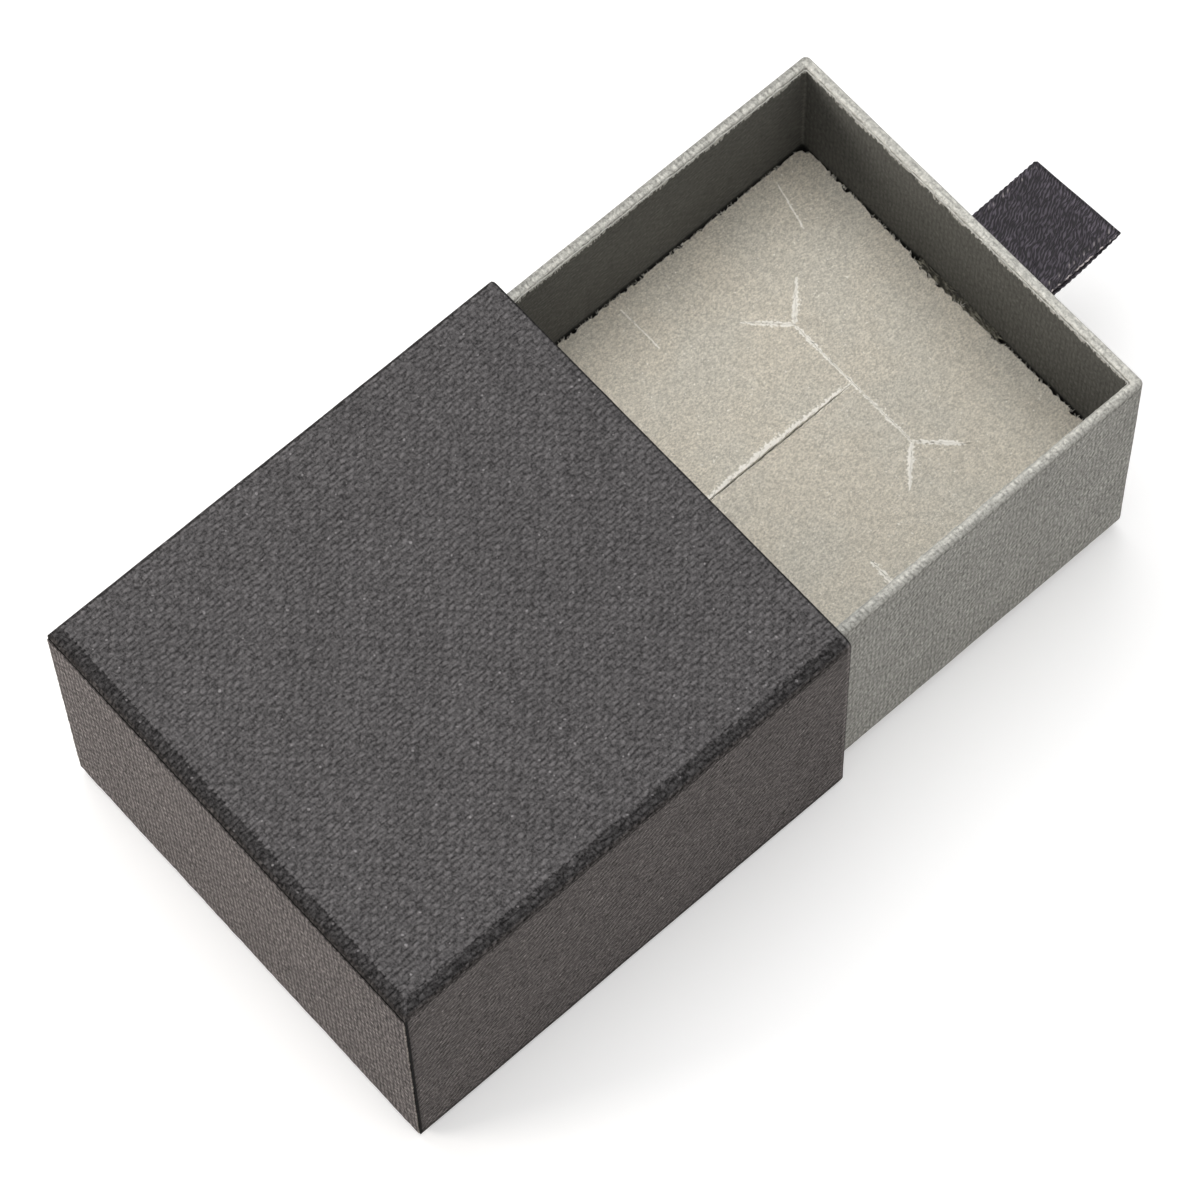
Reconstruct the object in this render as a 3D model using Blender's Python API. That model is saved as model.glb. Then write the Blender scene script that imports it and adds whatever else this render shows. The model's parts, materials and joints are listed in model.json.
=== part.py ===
"""Sliding drawer gift box: a rigid paperboard sleeve, closed at its back end, and a drawer.

The sleeve and the drawer are each glued up from mitred greyboard panels, then wrapped in
linen-embossed paper and lined. The drawer holds a flocked foam insert on a folded card riser,
and a doubled satin ribbon through its front wall pulls it out.

Frame: metres, +Z up, the origin at the middle of the sleeve's underside. The sleeve's mouth and
the ribbon face -Y, so left is -X and right is +X for a person in front of the box.
"""
import math

import bmesh
import bpy
from mathutils import Matrix, Vector

MM = 0.001

# Sheet materials
SLEEVE_BOARD = 1.0 * MM        # greyboard of the sleeve
DRAWER_BOARD = 0.8 * MM        # greyboard of the drawer
COVER_PAPER = 0.15 * MM        # linen-embossed paper of both wraps
LINING_PAPER = 0.12 * MM       # paper inside the sleeve and the drawer
GLUE_LINE = 0.05 * MM          # between two glued layers
MITRE_GAP = 0.05 * MM          # between two boards that meet at a mitre
BUTT_GAP = 0.3 * MM            # between the cut ends of two sheets in one layer

# Sleeve
SLEEVE_WIDTH = 60.0 * MM
SLEEVE_LENGTH = 65.0 * MM
SLEEVE_HEIGHT = 41.0 * MM
SLEEVE_EDGE_RADIUS = 1.3 * MM  # outside radius of the folded long edges and end edges
SLEEVE_TURN_IN = 10.0 * MM     # how far the wrap runs in from the mouth
SLEEVE_FLAP = 9.0 * MM         # how far the wrap is turned onto the end and under the base
SHEET_MARGIN = 0.2 * MM        # an end or base sheet stays this far off a rounded edge

# Drawer
DRAWER_HELD = 16.7 * MM        # how much of the open drawer is still in the sleeve
SIDE_CLEARANCE = 0.5 * MM      # running clearance on each side
TOP_CLEARANCE = 0.4 * MM       # running clearance over the rim
FLOOR_CLEARANCE = 0.3 * MM     # running clearance under the drawer
BACK_CLEARANCE = 0.5 * MM      # left behind the drawer when its front is flush with the mouth
DRAWER_EDGE_RADIUS = 0.75 * MM # outside radius of the upright and bottom edges
RIM_RADIUS = 0.25 * MM         # outside radius of the rim
RIM_TURN_IN = 8.0 * MM         # how far the wrap runs down inside from the rim
DRAWER_FLAP = 9.0 * MM         # how far the wrap is turned under the base
LINER_DROP = 0.2 * MM          # from the rim down to the liner's top edge

# Insert
INSERT_DEPTH = 18.7 * MM       # from the rim down to the velour
VELOUR = 0.5 * MM
FOAM = 8.0 * MM
RISER_CARD = 0.6 * MM
RISER_BEND_RADIUS = 0.9 * MM   # of the card's middle layer
INSERT_SIDE_GAP = 0.3 * MM
INSERT_FRONT_GAP = 0.45 * MM
INSERT_CORNER_RADIUS = 2.2 * MM
REST_GAP = 0.3 * MM            # under the riser's feet

# Slits in the insert
SLIT_WIDTH = 0.3 * MM
SLIT_DEPTH = 6.0 * MM          # into the foam
RING_SLIT_LENGTH = 20.0 * MM
RING_SLIT_SETBACK = 16.1 * MM  # from the insert's front or back edge to each ring slit
ARM_LENGTH = 6.3 * MM
ARM_ANGLE = math.radians(45.0)
CHAIN_SLIT_LENGTH = 6.9 * MM
CHAIN_SLIT_MARGIN = 1.3 * MM   # from the insert's side edge
CORNER_SLIT_SETBACK = 5.1 * MM  # from the insert's front or back edge
CORNER_SLIT_ANGLE = math.radians(15.0)

# Pull ribbon
RIBBON_WIDTH = 13.5 * MM
RIBBON_THICKNESS = 0.25 * MM
RIBBON_LAYER_GAP = 0.15 * MM
RIBBON_REACH = 18.0 * MM       # from the front wall to the fold
RIBBON_LEG = 7.0 * MM          # each end, turned down inside
RIBBON_BEND_RADIUS = 0.35 * MM # of the lower layer's middle
RIBBON_RISE = 0.4 * MM         # from the velour up to the slot's middle
SLOT_CLEARANCE = 0.2 * MM      # over and under the ribbon
SLOT_END_CLEARANCE = 0.5 * MM  # at each end of the slot
RECESS_DEPTH = 0.6 * MM        # in the insert's front edge, behind the ribbon's ends

# Modelling
OVERRUN = 1.0 * MM             # how far a cutter runs past what it cuts
WELD = 0.003 * MM              # points closer than this are one point
EDGE_SEGMENTS = 5              # facets of a rounded edge
RIM_SEGMENTS = 2               # facets of the drawer's rim
CORNER_SEGMENTS = 8            # facets of the insert's corners
BEND_SEGMENTS = 6              # facets of a bend in ribbon or card
SMOOTH_ANGLE = math.radians(30.0)
ALIGNED = 0.99                 # cosine above which two directions count as the same

UP = Vector((0, 0, 1))
DOWN = Vector((0, 0, -1))
LEFT = Vector((-1, 0, 0))
RIGHT = Vector((1, 0, 0))
FRONT = Vector((0, -1, 0))
BACK = Vector((0, 1, 0))

# Layers, from the outside in
GLUED_PAPER = COVER_PAPER + GLUE_LINE
SLEEVE_BOARD_INSIDE = GLUED_PAPER + SLEEVE_BOARD
SLEEVE_MOUTH_WALL = SLEEVE_BOARD_INSIDE + GLUE_LINE + COVER_PAPER
DRAWER_BOARD_INSIDE = GLUED_PAPER + DRAWER_BOARD
RIM_WALL = DRAWER_BOARD_INSIDE + GLUE_LINE + COVER_PAPER
DRAWER_WALL = RIM_WALL + GLUE_LINE + LINING_PAPER

# Each rounded form and each hollow is a pair of corners, lowest and highest
SLEEVE_FORM = (
    Vector((-SLEEVE_WIDTH / 2, -SLEEVE_LENGTH / 2, GLUED_PAPER)),
    Vector((SLEEVE_WIDTH / 2, SLEEVE_LENGTH / 2 - GLUED_PAPER, SLEEVE_HEIGHT)),
)
SLEEVE_MOUTH_Y = -SLEEVE_LENGTH / 2
SLEEVE_END_INSIDE = SLEEVE_FORM[1].y - SLEEVE_BOARD_INSIDE - GLUE_LINE - LINING_PAPER

DRAWER_WIDTH = SLEEVE_WIDTH - 2 * (SLEEVE_MOUTH_WALL + SIDE_CLEARANCE)
DRAWER_LENGTH = SLEEVE_END_INSIDE - BACK_CLEARANCE - SLEEVE_MOUTH_Y
DRAWER_BACK_Y = SLEEVE_MOUTH_Y + DRAWER_HELD
DRAWER_FRONT_Y = DRAWER_BACK_Y - DRAWER_LENGTH
DRAWER_UNDERSIDE = SLEEVE_FORM[0].z + SLEEVE_MOUTH_WALL + FLOOR_CLEARANCE
DRAWER_RIM = SLEEVE_HEIGHT - SLEEVE_MOUTH_WALL - TOP_CLEARANCE
DRAWER_FORM = (
    Vector((-DRAWER_WIDTH / 2, DRAWER_FRONT_Y, DRAWER_UNDERSIDE + GLUED_PAPER)),
    Vector((DRAWER_WIDTH / 2, DRAWER_BACK_Y, DRAWER_RIM)),
)
DRAWER_FLOOR = DRAWER_FORM[0].z + DRAWER_BOARD_INSIDE + GLUE_LINE + LINING_PAPER

INSERT_TOP = DRAWER_RIM - INSERT_DEPTH
FOAM_TOP = INSERT_TOP - VELOUR - GLUE_LINE
FOAM_UNDERSIDE = FOAM_TOP - FOAM
RISER_TOP = FOAM_UNDERSIDE - GLUE_LINE
LINER_FACE_Y = DRAWER_FRONT_Y + DRAWER_WALL
INSERT_HALF_WIDTH = DRAWER_WIDTH / 2 - DRAWER_WALL - INSERT_SIDE_GAP
INSERT_FRONT = LINER_FACE_Y + INSERT_FRONT_GAP
INSERT_BACK = DRAWER_BACK_Y - DRAWER_WALL - INSERT_SIDE_GAP
INSERT_MIDDLE = (INSERT_FRONT + INSERT_BACK) / 2
INSERT_HALF_LENGTH = (INSERT_BACK - INSERT_FRONT) / 2

SLOT_Z = INSERT_TOP + RIBBON_RISE
RIBBON_LAYER_PITCH = RIBBON_THICKNESS + RIBBON_LAYER_GAP
SLOT_HEIGHT = RIBBON_LAYER_PITCH + RIBBON_THICKNESS + 2 * SLOT_CLEARANCE


def clear_scene():
    for obj in list(bpy.data.objects):
        bpy.data.objects.remove(obj, do_unlink=True)


def make_material(name, colour, roughness):
    material = bpy.data.materials.new(name)
    material.use_nodes = True
    shader = material.node_tree.nodes["Principled BSDF"]
    shader.inputs["Base Color"].default_value = (*colour, 1.0)
    shader.inputs["Roughness"].default_value = roughness
    shader.inputs["Metallic"].default_value = 0.0
    return material


def add_object(name, bm, origin, material=None, parent=None):
    """Turn a bmesh drawn in world space into an object with its own origin."""
    bm.transform(Matrix.Translation(-origin))
    mesh = bpy.data.meshes.new(name)
    bm.to_mesh(mesh)
    bm.free()
    if material:
        mesh.materials.append(material)
    mesh.shade_smooth()
    mesh.set_sharp_from_angle(angle=SMOOTH_ANGLE)
    obj = bpy.data.objects.new(name, mesh)
    bpy.context.scene.collection.objects.link(obj)
    obj.location = origin
    if parent:
        obj.parent = parent
        obj.location = origin - parent.location
    return obj


def add_cutter(name, bm, origin, parent=None):
    cutter = add_object(name, bm, origin, parent=parent)
    cutter.hide_render = True
    cutter.display_type = "WIRE"
    return cutter


def cut(target, cutter, crosses_itself=False):
    modifier = target.modifiers.new("cut by " + cutter.name, "BOOLEAN")
    modifier.operation = "DIFFERENCE"
    modifier.solver = "EXACT"
    modifier.use_self = crosses_itself
    modifier.object = cutter


def middle(low, high):
    return (low + high) / 2


def inset(form, amount):
    """The form with every face moved in by one amount."""
    low, high = form
    step = Vector((amount, amount, amount))
    return low + step, high - step


def block(low, high):
    """A plain box between two corners."""
    bm = bmesh.new()
    bmesh.ops.create_cube(bm, size=1)
    size = high - low
    bmesh.ops.scale(bm, vec=size, verts=bm.verts)
    bmesh.ops.translate(bm, vec=middle(low, high), verts=bm.verts)
    return bm


def faces_meeting(edge):
    return [face.normal for face in edge.link_faces]


def same_way(first, second):
    return first.dot(second) > ALIGNED


def round_edges(bm, radius, segments, between):
    """Round each edge whose two faces both point along a listed pair of directions."""
    if radius <= 0:
        return
    bm.normal_update()
    chosen = []
    for edge in bm.edges:
        normals = faces_meeting(edge)
        for first, second in between:
            one_way = same_way(normals[0], first) and same_way(normals[1], second)
            other_way = same_way(normals[1], first) and same_way(normals[0], second)
            if one_way or other_way:
                chosen.append(edge)
    bmesh.ops.bevel(bm, geom=chosen, offset=radius, offset_type="OFFSET", segments=segments,
                    profile=0.5, affect="EDGES", clamp_overlap=True, material=-1)


def pairs(first_group, second_group):
    return [(first, second) for first in first_group for second in second_group]


def sleeve_block(form, radius):
    """Rounded along the four long edges and the end's top and bottom edges."""
    bm = block(*form)
    long_and_end_edges = pairs((UP, DOWN), (LEFT, RIGHT, BACK))
    round_edges(bm, radius, EDGE_SEGMENTS, long_and_end_edges)
    return bm


def drawer_block(form, radius, rim_radius):
    """Rounded along the upright edges, the bottom edges and, more finely, the rim."""
    bm = block(*form)
    sides = (LEFT, RIGHT, FRONT, BACK)
    upright = pairs((LEFT, RIGHT), (FRONT, BACK))
    round_edges(bm, radius, EDGE_SEGMENTS, upright + pairs((DOWN,), sides))
    if rim_radius > 0:
        bm.normal_update()
        rim = [edge for edge in bm.edges if is_rim_edge(edge)]
        bmesh.ops.bevel(bm, geom=rim, offset=rim_radius, offset_type="OFFSET",
                        segments=RIM_SEGMENTS, profile=0.5, affect="EDGES",
                        clamp_overlap=True, material=-1)
    return bm


def is_rim_edge(edge):
    facing_up = [normal for normal in faces_meeting(edge) if same_way(normal, UP)]
    return len(facing_up) == 1


def keep_beyond(bm, point, direction):
    """Cut a convex solid by a plane and keep the side that lies along the direction."""
    geometry = bm.verts[:] + bm.edges[:] + bm.faces[:]
    result = bmesh.ops.bisect_plane(bm, geom=geometry, dist=WELD, plane_co=point,
                                    plane_no=direction, clear_inner=True)
    rim = [item for item in result["geom_cut"] if isinstance(item, bmesh.types.BMEdge)]
    bmesh.ops.holes_fill(bm, edges=rim, sides=0)


def inner_corner(hollow, directions):
    """The corner of a hollow that lies towards all the given directions."""
    low, high = hollow
    towards = sum(directions, Vector((0, 0, 0)))
    return Vector(
        high[axis] if towards[axis] > 0 else low[axis] if towards[axis] < 0 else 0
        for axis in range(3)
    )


def panel(solid, hollow, facing, neighbours):
    """One board of a mitred box: the part of the solid on one side of its hollow."""
    keep_beyond(solid, inner_corner(hollow, [facing]), facing)
    for neighbour in neighbours:
        away = (facing - neighbour).normalized()
        corner = inner_corner(hollow, [facing, neighbour])
        keep_beyond(solid, corner + away * MITRE_GAP / 2, away)
    bmesh.ops.remove_doubles(solid, verts=solid.verts, dist=WELD)
    bmesh.ops.recalc_face_normals(solid, faces=solid.faces)
    return solid


def tube(low, high, along):
    """The four sides of a box, open at both ends along one direction."""
    bm = block(low, high)
    ends = [face for face in bm.faces
            if same_way(face.normal, along) or same_way(face.normal, -along)]
    bmesh.ops.delete(bm, geom=ends, context="FACES_ONLY")
    bm.normal_update()
    return bm


def thicken(obj, thickness, offset):
    """Give a sheet its thickness: -1 grows it inwards, 0 to both sides."""
    modifier = obj.modifiers.new("thickness", "SOLIDIFY")
    modifier.thickness = thickness
    modifier.offset = offset
    modifier.use_even_offset = True
    modifier.use_rim = True
    return modifier


def arc(centre, radius, start, end, steps):
    """Points on an arc in the YZ or XZ plane, as pairs."""
    points = []
    for step in range(steps + 1):
        angle = start + (end - start) * step / steps
        across = centre[0] + radius * math.cos(angle)
        height = centre[1] + radius * math.sin(angle)
        points.append((across, height))
    return points


def strip(path, sweep):
    """A sheet drawn along a path of points and swept by one vector."""
    bm = bmesh.new()
    verts = [bm.verts.new(point) for point in path]
    edges = [bm.edges.new(ends) for ends in zip(verts, verts[1:])]
    swept = bmesh.ops.extrude_edge_only(bm, edges=edges)
    moved = [item for item in swept["geom"] if isinstance(item, bmesh.types.BMVert)]
    bmesh.ops.translate(bm, vec=sweep, verts=moved)
    bmesh.ops.recalc_face_normals(bm, faces=bm.faces)
    return bm


# Sleeve

def sleeve_board_parts():
    solid_form = inset(SLEEVE_FORM, GLUED_PAPER)
    low, high = inset(SLEEVE_FORM, SLEEVE_BOARD_INSIDE)
    hollow = (Vector((low.x, SLEEVE_MOUTH_Y, low.z)), high)
    radius = SLEEVE_EDGE_RADIUS - GLUED_PAPER
    walls = {
        "sleeve_top_board": (UP, (LEFT, RIGHT, BACK)),
        "sleeve_bottom_board": (DOWN, (LEFT, RIGHT, BACK)),
        "sleeve_left_board": (LEFT, (UP, DOWN, BACK)),
        "sleeve_right_board": (RIGHT, (UP, DOWN, BACK)),
        "sleeve_end_board": (BACK, (UP, DOWN, LEFT, RIGHT)),
    }
    for name, (facing, neighbours) in walls.items():
        solid = sleeve_block(solid_form, radius)
        board = panel(solid, hollow, facing, neighbours)
        origin = inner_corner(hollow, [facing]) + facing * SLEEVE_BOARD / 2
        add_object(name, board, origin, greyboard)


def sleeve_opening(grow, y_low, y_high):
    """A box through the mouth, as wide as the lined passage plus a growth on each side."""
    low, high = inset(SLEEVE_FORM, SLEEVE_MOUTH_WALL - grow)
    return Vector((low.x, y_low, low.z)), Vector((high.x, y_high, high.z))


def sleeve_cover():
    """The wrap: a shell round the boards, turned in at the mouth like a cuff."""
    origin = middle(*SLEEVE_FORM)
    cover = add_object("sleeve_cover_paper", sleeve_block(SLEEVE_FORM, SLEEVE_EDGE_RADIUS),
                       origin, charcoal_linen)
    turn_in_y = SLEEVE_MOUTH_Y + SLEEVE_TURN_IN
    board_space = add_cutter(
        "sleeve_board_space",
        sleeve_block(inset(SLEEVE_FORM, COVER_PAPER), SLEEVE_EDGE_RADIUS - COVER_PAPER), origin)
    cuff = sleeve_opening(COVER_PAPER, SLEEVE_MOUTH_Y - OVERRUN, turn_in_y)
    cut(board_space, add_cutter("sleeve_cuff", block(*cuff), middle(*cuff)))
    passage = sleeve_opening(0, SLEEVE_MOUTH_Y - OVERRUN, turn_in_y + OVERRUN)
    low, high = SLEEVE_FORM
    end_window = (
        Vector((low.x + SLEEVE_FLAP, high.y - OVERRUN, low.z + SLEEVE_FLAP)),
        Vector((high.x - SLEEVE_FLAP, high.y + OVERRUN, high.z - SLEEVE_FLAP)),
    )
    base_window = (
        Vector((low.x + SLEEVE_FLAP, low.y + SLEEVE_FLAP, low.z - OVERRUN)),
        Vector((high.x - SLEEVE_FLAP, high.y - SLEEVE_FLAP, low.z + OVERRUN)),
    )
    cut(cover, board_space)
    cut(cover, add_cutter("sleeve_passage", block(*passage), middle(*passage)))
    cut(cover, add_cutter("sleeve_end_window", block(*end_window), middle(*end_window)))
    cut(cover, add_cutter("sleeve_base_window", block(*base_window), middle(*base_window)))


def sleeve_sheets():
    """The end sheet, edge to edge, and the base sheet over the turned-under edges."""
    low, high = SLEEVE_FORM
    margin = SLEEVE_EDGE_RADIUS + SHEET_MARGIN
    end_low = Vector((low.x, high.y + GLUE_LINE, low.z + margin))
    end_high = Vector((high.x, high.y + GLUED_PAPER, high.z - margin))
    add_object("sleeve_end_paper", block(end_low, end_high), middle(end_low, end_high),
               charcoal_linen)
    base_low = Vector((low.x + margin, low.y + margin, 0))
    base_high = Vector((high.x - margin, high.y - margin, COVER_PAPER))
    add_object("sleeve_base_paper", block(base_low, base_high), middle(base_low, base_high),
               charcoal_linen)


def sleeve_lining():
    """Dark paper from the cuff to the end, with its seam in a lower corner, and an end sheet."""
    low, high = inset(SLEEVE_FORM, SLEEVE_BOARD_INSIDE + GLUE_LINE)
    end_low = Vector((low.x, SLEEVE_END_INSIDE, low.z))
    add_object("sleeve_end_lining", block(end_low, high), middle(end_low, high), black_paper)
    tube_low = Vector((low.x, SLEEVE_MOUTH_Y + SLEEVE_TURN_IN + BUTT_GAP, low.z))
    tube_high = Vector((high.x, SLEEVE_END_INSIDE - GLUE_LINE, high.z))
    lining = add_object("sleeve_wall_lining", tube(tube_low, tube_high, BACK),
                        middle(tube_low, tube_high), black_paper)
    thicken(lining, LINING_PAPER, -1)
    seam_low = Vector((high.x - LINING_PAPER - MITRE_GAP, tube_low.y - OVERRUN, low.z - OVERRUN))
    seam_high = Vector((high.x - LINING_PAPER, tube_high.y + OVERRUN, low.z + OVERRUN))
    cut(lining, add_cutter("sleeve_lining_seam", block(seam_low, seam_high),
                           middle(seam_low, seam_high)))


# Drawer

def ribbon_slot():
    """The cutter for the slot that the ribbon passes through in the front wall."""
    half_width = RIBBON_WIDTH / 2 + SLOT_END_CLEARANCE
    low = Vector((-half_width, DRAWER_FRONT_Y - OVERRUN, SLOT_Z - SLOT_HEIGHT / 2))
    high = Vector((half_width, LINER_FACE_Y + OVERRUN, SLOT_Z + SLOT_HEIGHT / 2))
    return add_cutter("ribbon_slot", block(low, high), middle(low, high), drawer)


def drawer_board_parts(slot):
    solid_form = inset(DRAWER_FORM, GLUED_PAPER)
    low, high = inset(DRAWER_FORM, DRAWER_BOARD_INSIDE)
    hollow = (low, Vector((high.x, high.y, DRAWER_RIM)))
    radius = DRAWER_EDGE_RADIUS - GLUED_PAPER
    walls = {
        "drawer_base_board": (DOWN, (LEFT, RIGHT, FRONT, BACK)),
        "drawer_left_board": (LEFT, (DOWN, FRONT, BACK)),
        "drawer_right_board": (RIGHT, (DOWN, FRONT, BACK)),
        "drawer_front_board": (FRONT, (DOWN, LEFT, RIGHT)),
        "drawer_back_board": (BACK, (DOWN, LEFT, RIGHT)),
    }
    for name, (facing, neighbours) in walls.items():
        solid = drawer_block(solid_form, radius, 0)
        board = panel(solid, hollow, facing, neighbours)
        origin = inner_corner(hollow, [facing]) + facing * DRAWER_BOARD / 2
        board_object = add_object(name, board, origin, greyboard, drawer)
        if facing == FRONT:
            cut(board_object, slot)


def drawer_opening(grow, z_low, z_high):
    """A box down through the rim, as wide as the rim's inside plus a growth on each side."""
    low, high = inset(DRAWER_FORM, RIM_WALL - grow)
    return Vector((low.x, low.y, z_low)), Vector((high.x, high.y, z_high))


def drawer_cover(slot):
    """The wrap: a shell round the boards, turned in over the rim like a cuff."""
    origin = middle(*DRAWER_FORM)
    solid = drawer_block(DRAWER_FORM, DRAWER_EDGE_RADIUS, RIM_RADIUS)
    cover = add_object("drawer_cover_paper", solid, origin, grey_linen, drawer)
    board_solid = drawer_block(inset(DRAWER_FORM, COVER_PAPER),
                               DRAWER_EDGE_RADIUS - COVER_PAPER, 0)
    board_space = add_cutter("drawer_board_space", board_solid, origin, drawer)
    turn_in_z = DRAWER_RIM - RIM_TURN_IN
    cuff = drawer_opening(COVER_PAPER, turn_in_z, DRAWER_RIM + OVERRUN)
    cut(board_space, add_cutter("drawer_cuff", block(*cuff), middle(*cuff), drawer))
    passage = drawer_opening(0, turn_in_z - OVERRUN, DRAWER_RIM + OVERRUN)
    low, high = DRAWER_FORM
    base_window = (
        Vector((low.x + DRAWER_FLAP, low.y + DRAWER_FLAP, low.z - OVERRUN)),
        Vector((high.x - DRAWER_FLAP, high.y - DRAWER_FLAP, low.z + OVERRUN)),
    )
    cut(cover, board_space)
    cut(cover, add_cutter("drawer_passage", block(*passage), middle(*passage), drawer))
    cut(cover, add_cutter("drawer_base_window", block(*base_window), middle(*base_window),
                          drawer))
    cut(cover, slot)


def drawer_sheets():
    """The base sheet under the drawer and the dark liner sheet on its floor."""
    low, high = DRAWER_FORM
    margin = DRAWER_EDGE_RADIUS + SHEET_MARGIN
    base_low = Vector((low.x + margin, low.y + margin, DRAWER_UNDERSIDE))
    base_high = Vector((high.x - margin, high.y - margin, DRAWER_UNDERSIDE + COVER_PAPER))
    add_object("drawer_base_paper", block(base_low, base_high), middle(base_low, base_high),
               grey_linen, drawer)
    inner_low, inner_high = inset(DRAWER_FORM, DRAWER_WALL + GLUE_LINE)
    floor_low = Vector((inner_low.x, inner_low.y, DRAWER_FLOOR - LINING_PAPER))
    floor_high = Vector((inner_high.x, inner_high.y, DRAWER_FLOOR))
    add_object("drawer_floor_liner", block(floor_low, floor_high),
               middle(floor_low, floor_high), dark_liner, drawer)


def drawer_wall_liner(slot):
    """One dark strip round the four walls, its ends meeting in a back corner."""
    low, high = inset(DRAWER_FORM, RIM_WALL + GLUE_LINE)
    tube_low = Vector((low.x, low.y, DRAWER_FLOOR - LINING_PAPER))
    tube_high = Vector((high.x, high.y, DRAWER_RIM - LINER_DROP))
    liner = add_object("drawer_wall_liner", tube(tube_low, tube_high, UP),
                       middle(tube_low, tube_high), dark_liner, drawer)
    thicken(liner, LINING_PAPER, -1)
    seam_x = low.x + LINING_PAPER
    seam_low = Vector((seam_x, high.y - OVERRUN, tube_low.z - OVERRUN))
    seam_high = Vector((seam_x + MITRE_GAP, high.y + OVERRUN, tube_high.z + OVERRUN))
    cut(liner, add_cutter("drawer_liner_seam", block(seam_low, seam_high),
                          middle(seam_low, seam_high), drawer))
    cut(liner, slot)


# Insert

def insert_block(z_low, z_high):
    """A slab of the insert's outline with its four upright corners rounded."""
    low = Vector((-INSERT_HALF_WIDTH, INSERT_FRONT, z_low))
    high = Vector((INSERT_HALF_WIDTH, INSERT_BACK, z_high))
    bm = block(low, high)
    round_edges(bm, INSERT_CORNER_RADIUS, CORNER_SEGMENTS,
                pairs((LEFT, RIGHT), (FRONT, BACK)))
    return bm


def add_slit(bm, start, direction, length):
    """One knife cut: a thin upright box from a start point along a flat direction."""
    z_low = FOAM_TOP - SLIT_DEPTH
    height = INSERT_TOP + OVERRUN - z_low
    blade = bmesh.ops.create_cube(bm, size=1)["verts"]
    bmesh.ops.scale(bm, vec=Vector((length, SLIT_WIDTH, height)), verts=blade)
    turn = Matrix.Rotation(math.atan2(direction.y, direction.x), 3, "Z")
    bmesh.ops.rotate(bm, cent=Vector((0, 0, 0)), matrix=turn, verts=blade)
    centre = start + direction * length / 2
    bmesh.ops.translate(bm, vec=Vector((centre.x, centre.y, z_low + height / 2)), verts=blade)


def slit_cutter():
    """Two ring slits that fork at their ends, joined by a long slit, and six chain slits."""
    bm = bmesh.new()
    centre = Vector((0, INSERT_MIDDLE, 0))
    half_ring = RING_SLIT_LENGTH / 2
    ring_y = INSERT_HALF_LENGTH - RING_SLIT_SETBACK
    chain_x = INSERT_HALF_WIDTH - CHAIN_SLIT_MARGIN
    corner_y = INSERT_HALF_LENGTH - CORNER_SLIT_SETBACK
    add_slit(bm, centre + FRONT * ring_y, BACK, 2 * ring_y)
    for end in (-1, 1):
        ring_middle = centre + BACK * end * ring_y
        add_slit(bm, ring_middle + LEFT * half_ring, RIGHT, RING_SLIT_LENGTH)
        for side in (-1, 1):
            fork = ring_middle + RIGHT * side * half_ring
            for turn in (-1, 1):
                arm = RIGHT * side * math.cos(ARM_ANGLE) + BACK * turn * math.sin(ARM_ANGLE)
                overlap = arm * SLIT_WIDTH / 4
                add_slit(bm, fork - overlap, arm, ARM_LENGTH)
            corner = centre + RIGHT * side * chain_x + BACK * end * corner_y
            inwards = (LEFT * side * math.cos(CORNER_SLIT_ANGLE)
                       + FRONT * end * math.sin(CORNER_SLIT_ANGLE))
            add_slit(bm, corner, inwards, CHAIN_SLIT_LENGTH)
    for side in (-1, 1):
        add_slit(bm, centre + RIGHT * side * chain_x, LEFT * side, CHAIN_SLIT_LENGTH)
    return add_cutter("slit_cutter", bm, centre, drawer)


def ribbon_recess():
    """The cutter that makes room for the ribbon's ends in the insert's front edge."""
    half_width = RIBBON_WIDTH / 2 + SLOT_END_CLEARANCE
    low = Vector((-half_width, INSERT_FRONT - OVERRUN, FOAM_UNDERSIDE - OVERRUN))
    high = Vector((half_width, INSERT_FRONT + RECESS_DEPTH, INSERT_TOP + OVERRUN))
    return add_cutter("ribbon_recess", block(low, high), middle(low, high), drawer)


def insert_parts():
    slits = slit_cutter()
    recess = ribbon_recess()
    layers = {
        "insert_velour": (INSERT_TOP - VELOUR, INSERT_TOP, pale_velour),
        "insert_foam": (FOAM_UNDERSIDE, FOAM_TOP, pale_foam),
    }
    for name, (z_low, z_high, material) in layers.items():
        origin = Vector((0, INSERT_MIDDLE, (z_low + z_high) / 2))
        layer = add_object(name, insert_block(z_low, z_high), origin, material, drawer)
        cut(layer, slits, crosses_itself=True)
        cut(layer, recess)


def riser():
    """The folded card under the foam: a deck with a leg bent down at each side."""
    deck_z = RISER_TOP - RISER_CARD / 2
    foot_z = DRAWER_FLOOR + REST_GAP
    leg_x = INSERT_HALF_WIDTH - RISER_CARD / 2
    bend_z = deck_z - RISER_BEND_RADIUS
    bend_x = leg_x - RISER_BEND_RADIUS
    left_bend = arc((-bend_x, bend_z), RISER_BEND_RADIUS, math.pi, math.pi / 2, BEND_SEGMENTS)
    right_bend = arc((bend_x, bend_z), RISER_BEND_RADIUS, math.pi / 2, 0, BEND_SEGMENTS)
    outline = [(-leg_x, foot_z), *left_bend, *right_bend, (leg_x, foot_z)]
    front = INSERT_FRONT + RECESS_DEPTH
    path = [Vector((across, front, height)) for across, height in outline]
    bm = strip(path, Vector((0, INSERT_BACK - front, 0)))
    card = add_object("insert_riser", bm, Vector((0, INSERT_MIDDLE, deck_z)), greyboard, drawer)
    thicken(card, RISER_CARD, 0)


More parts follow.
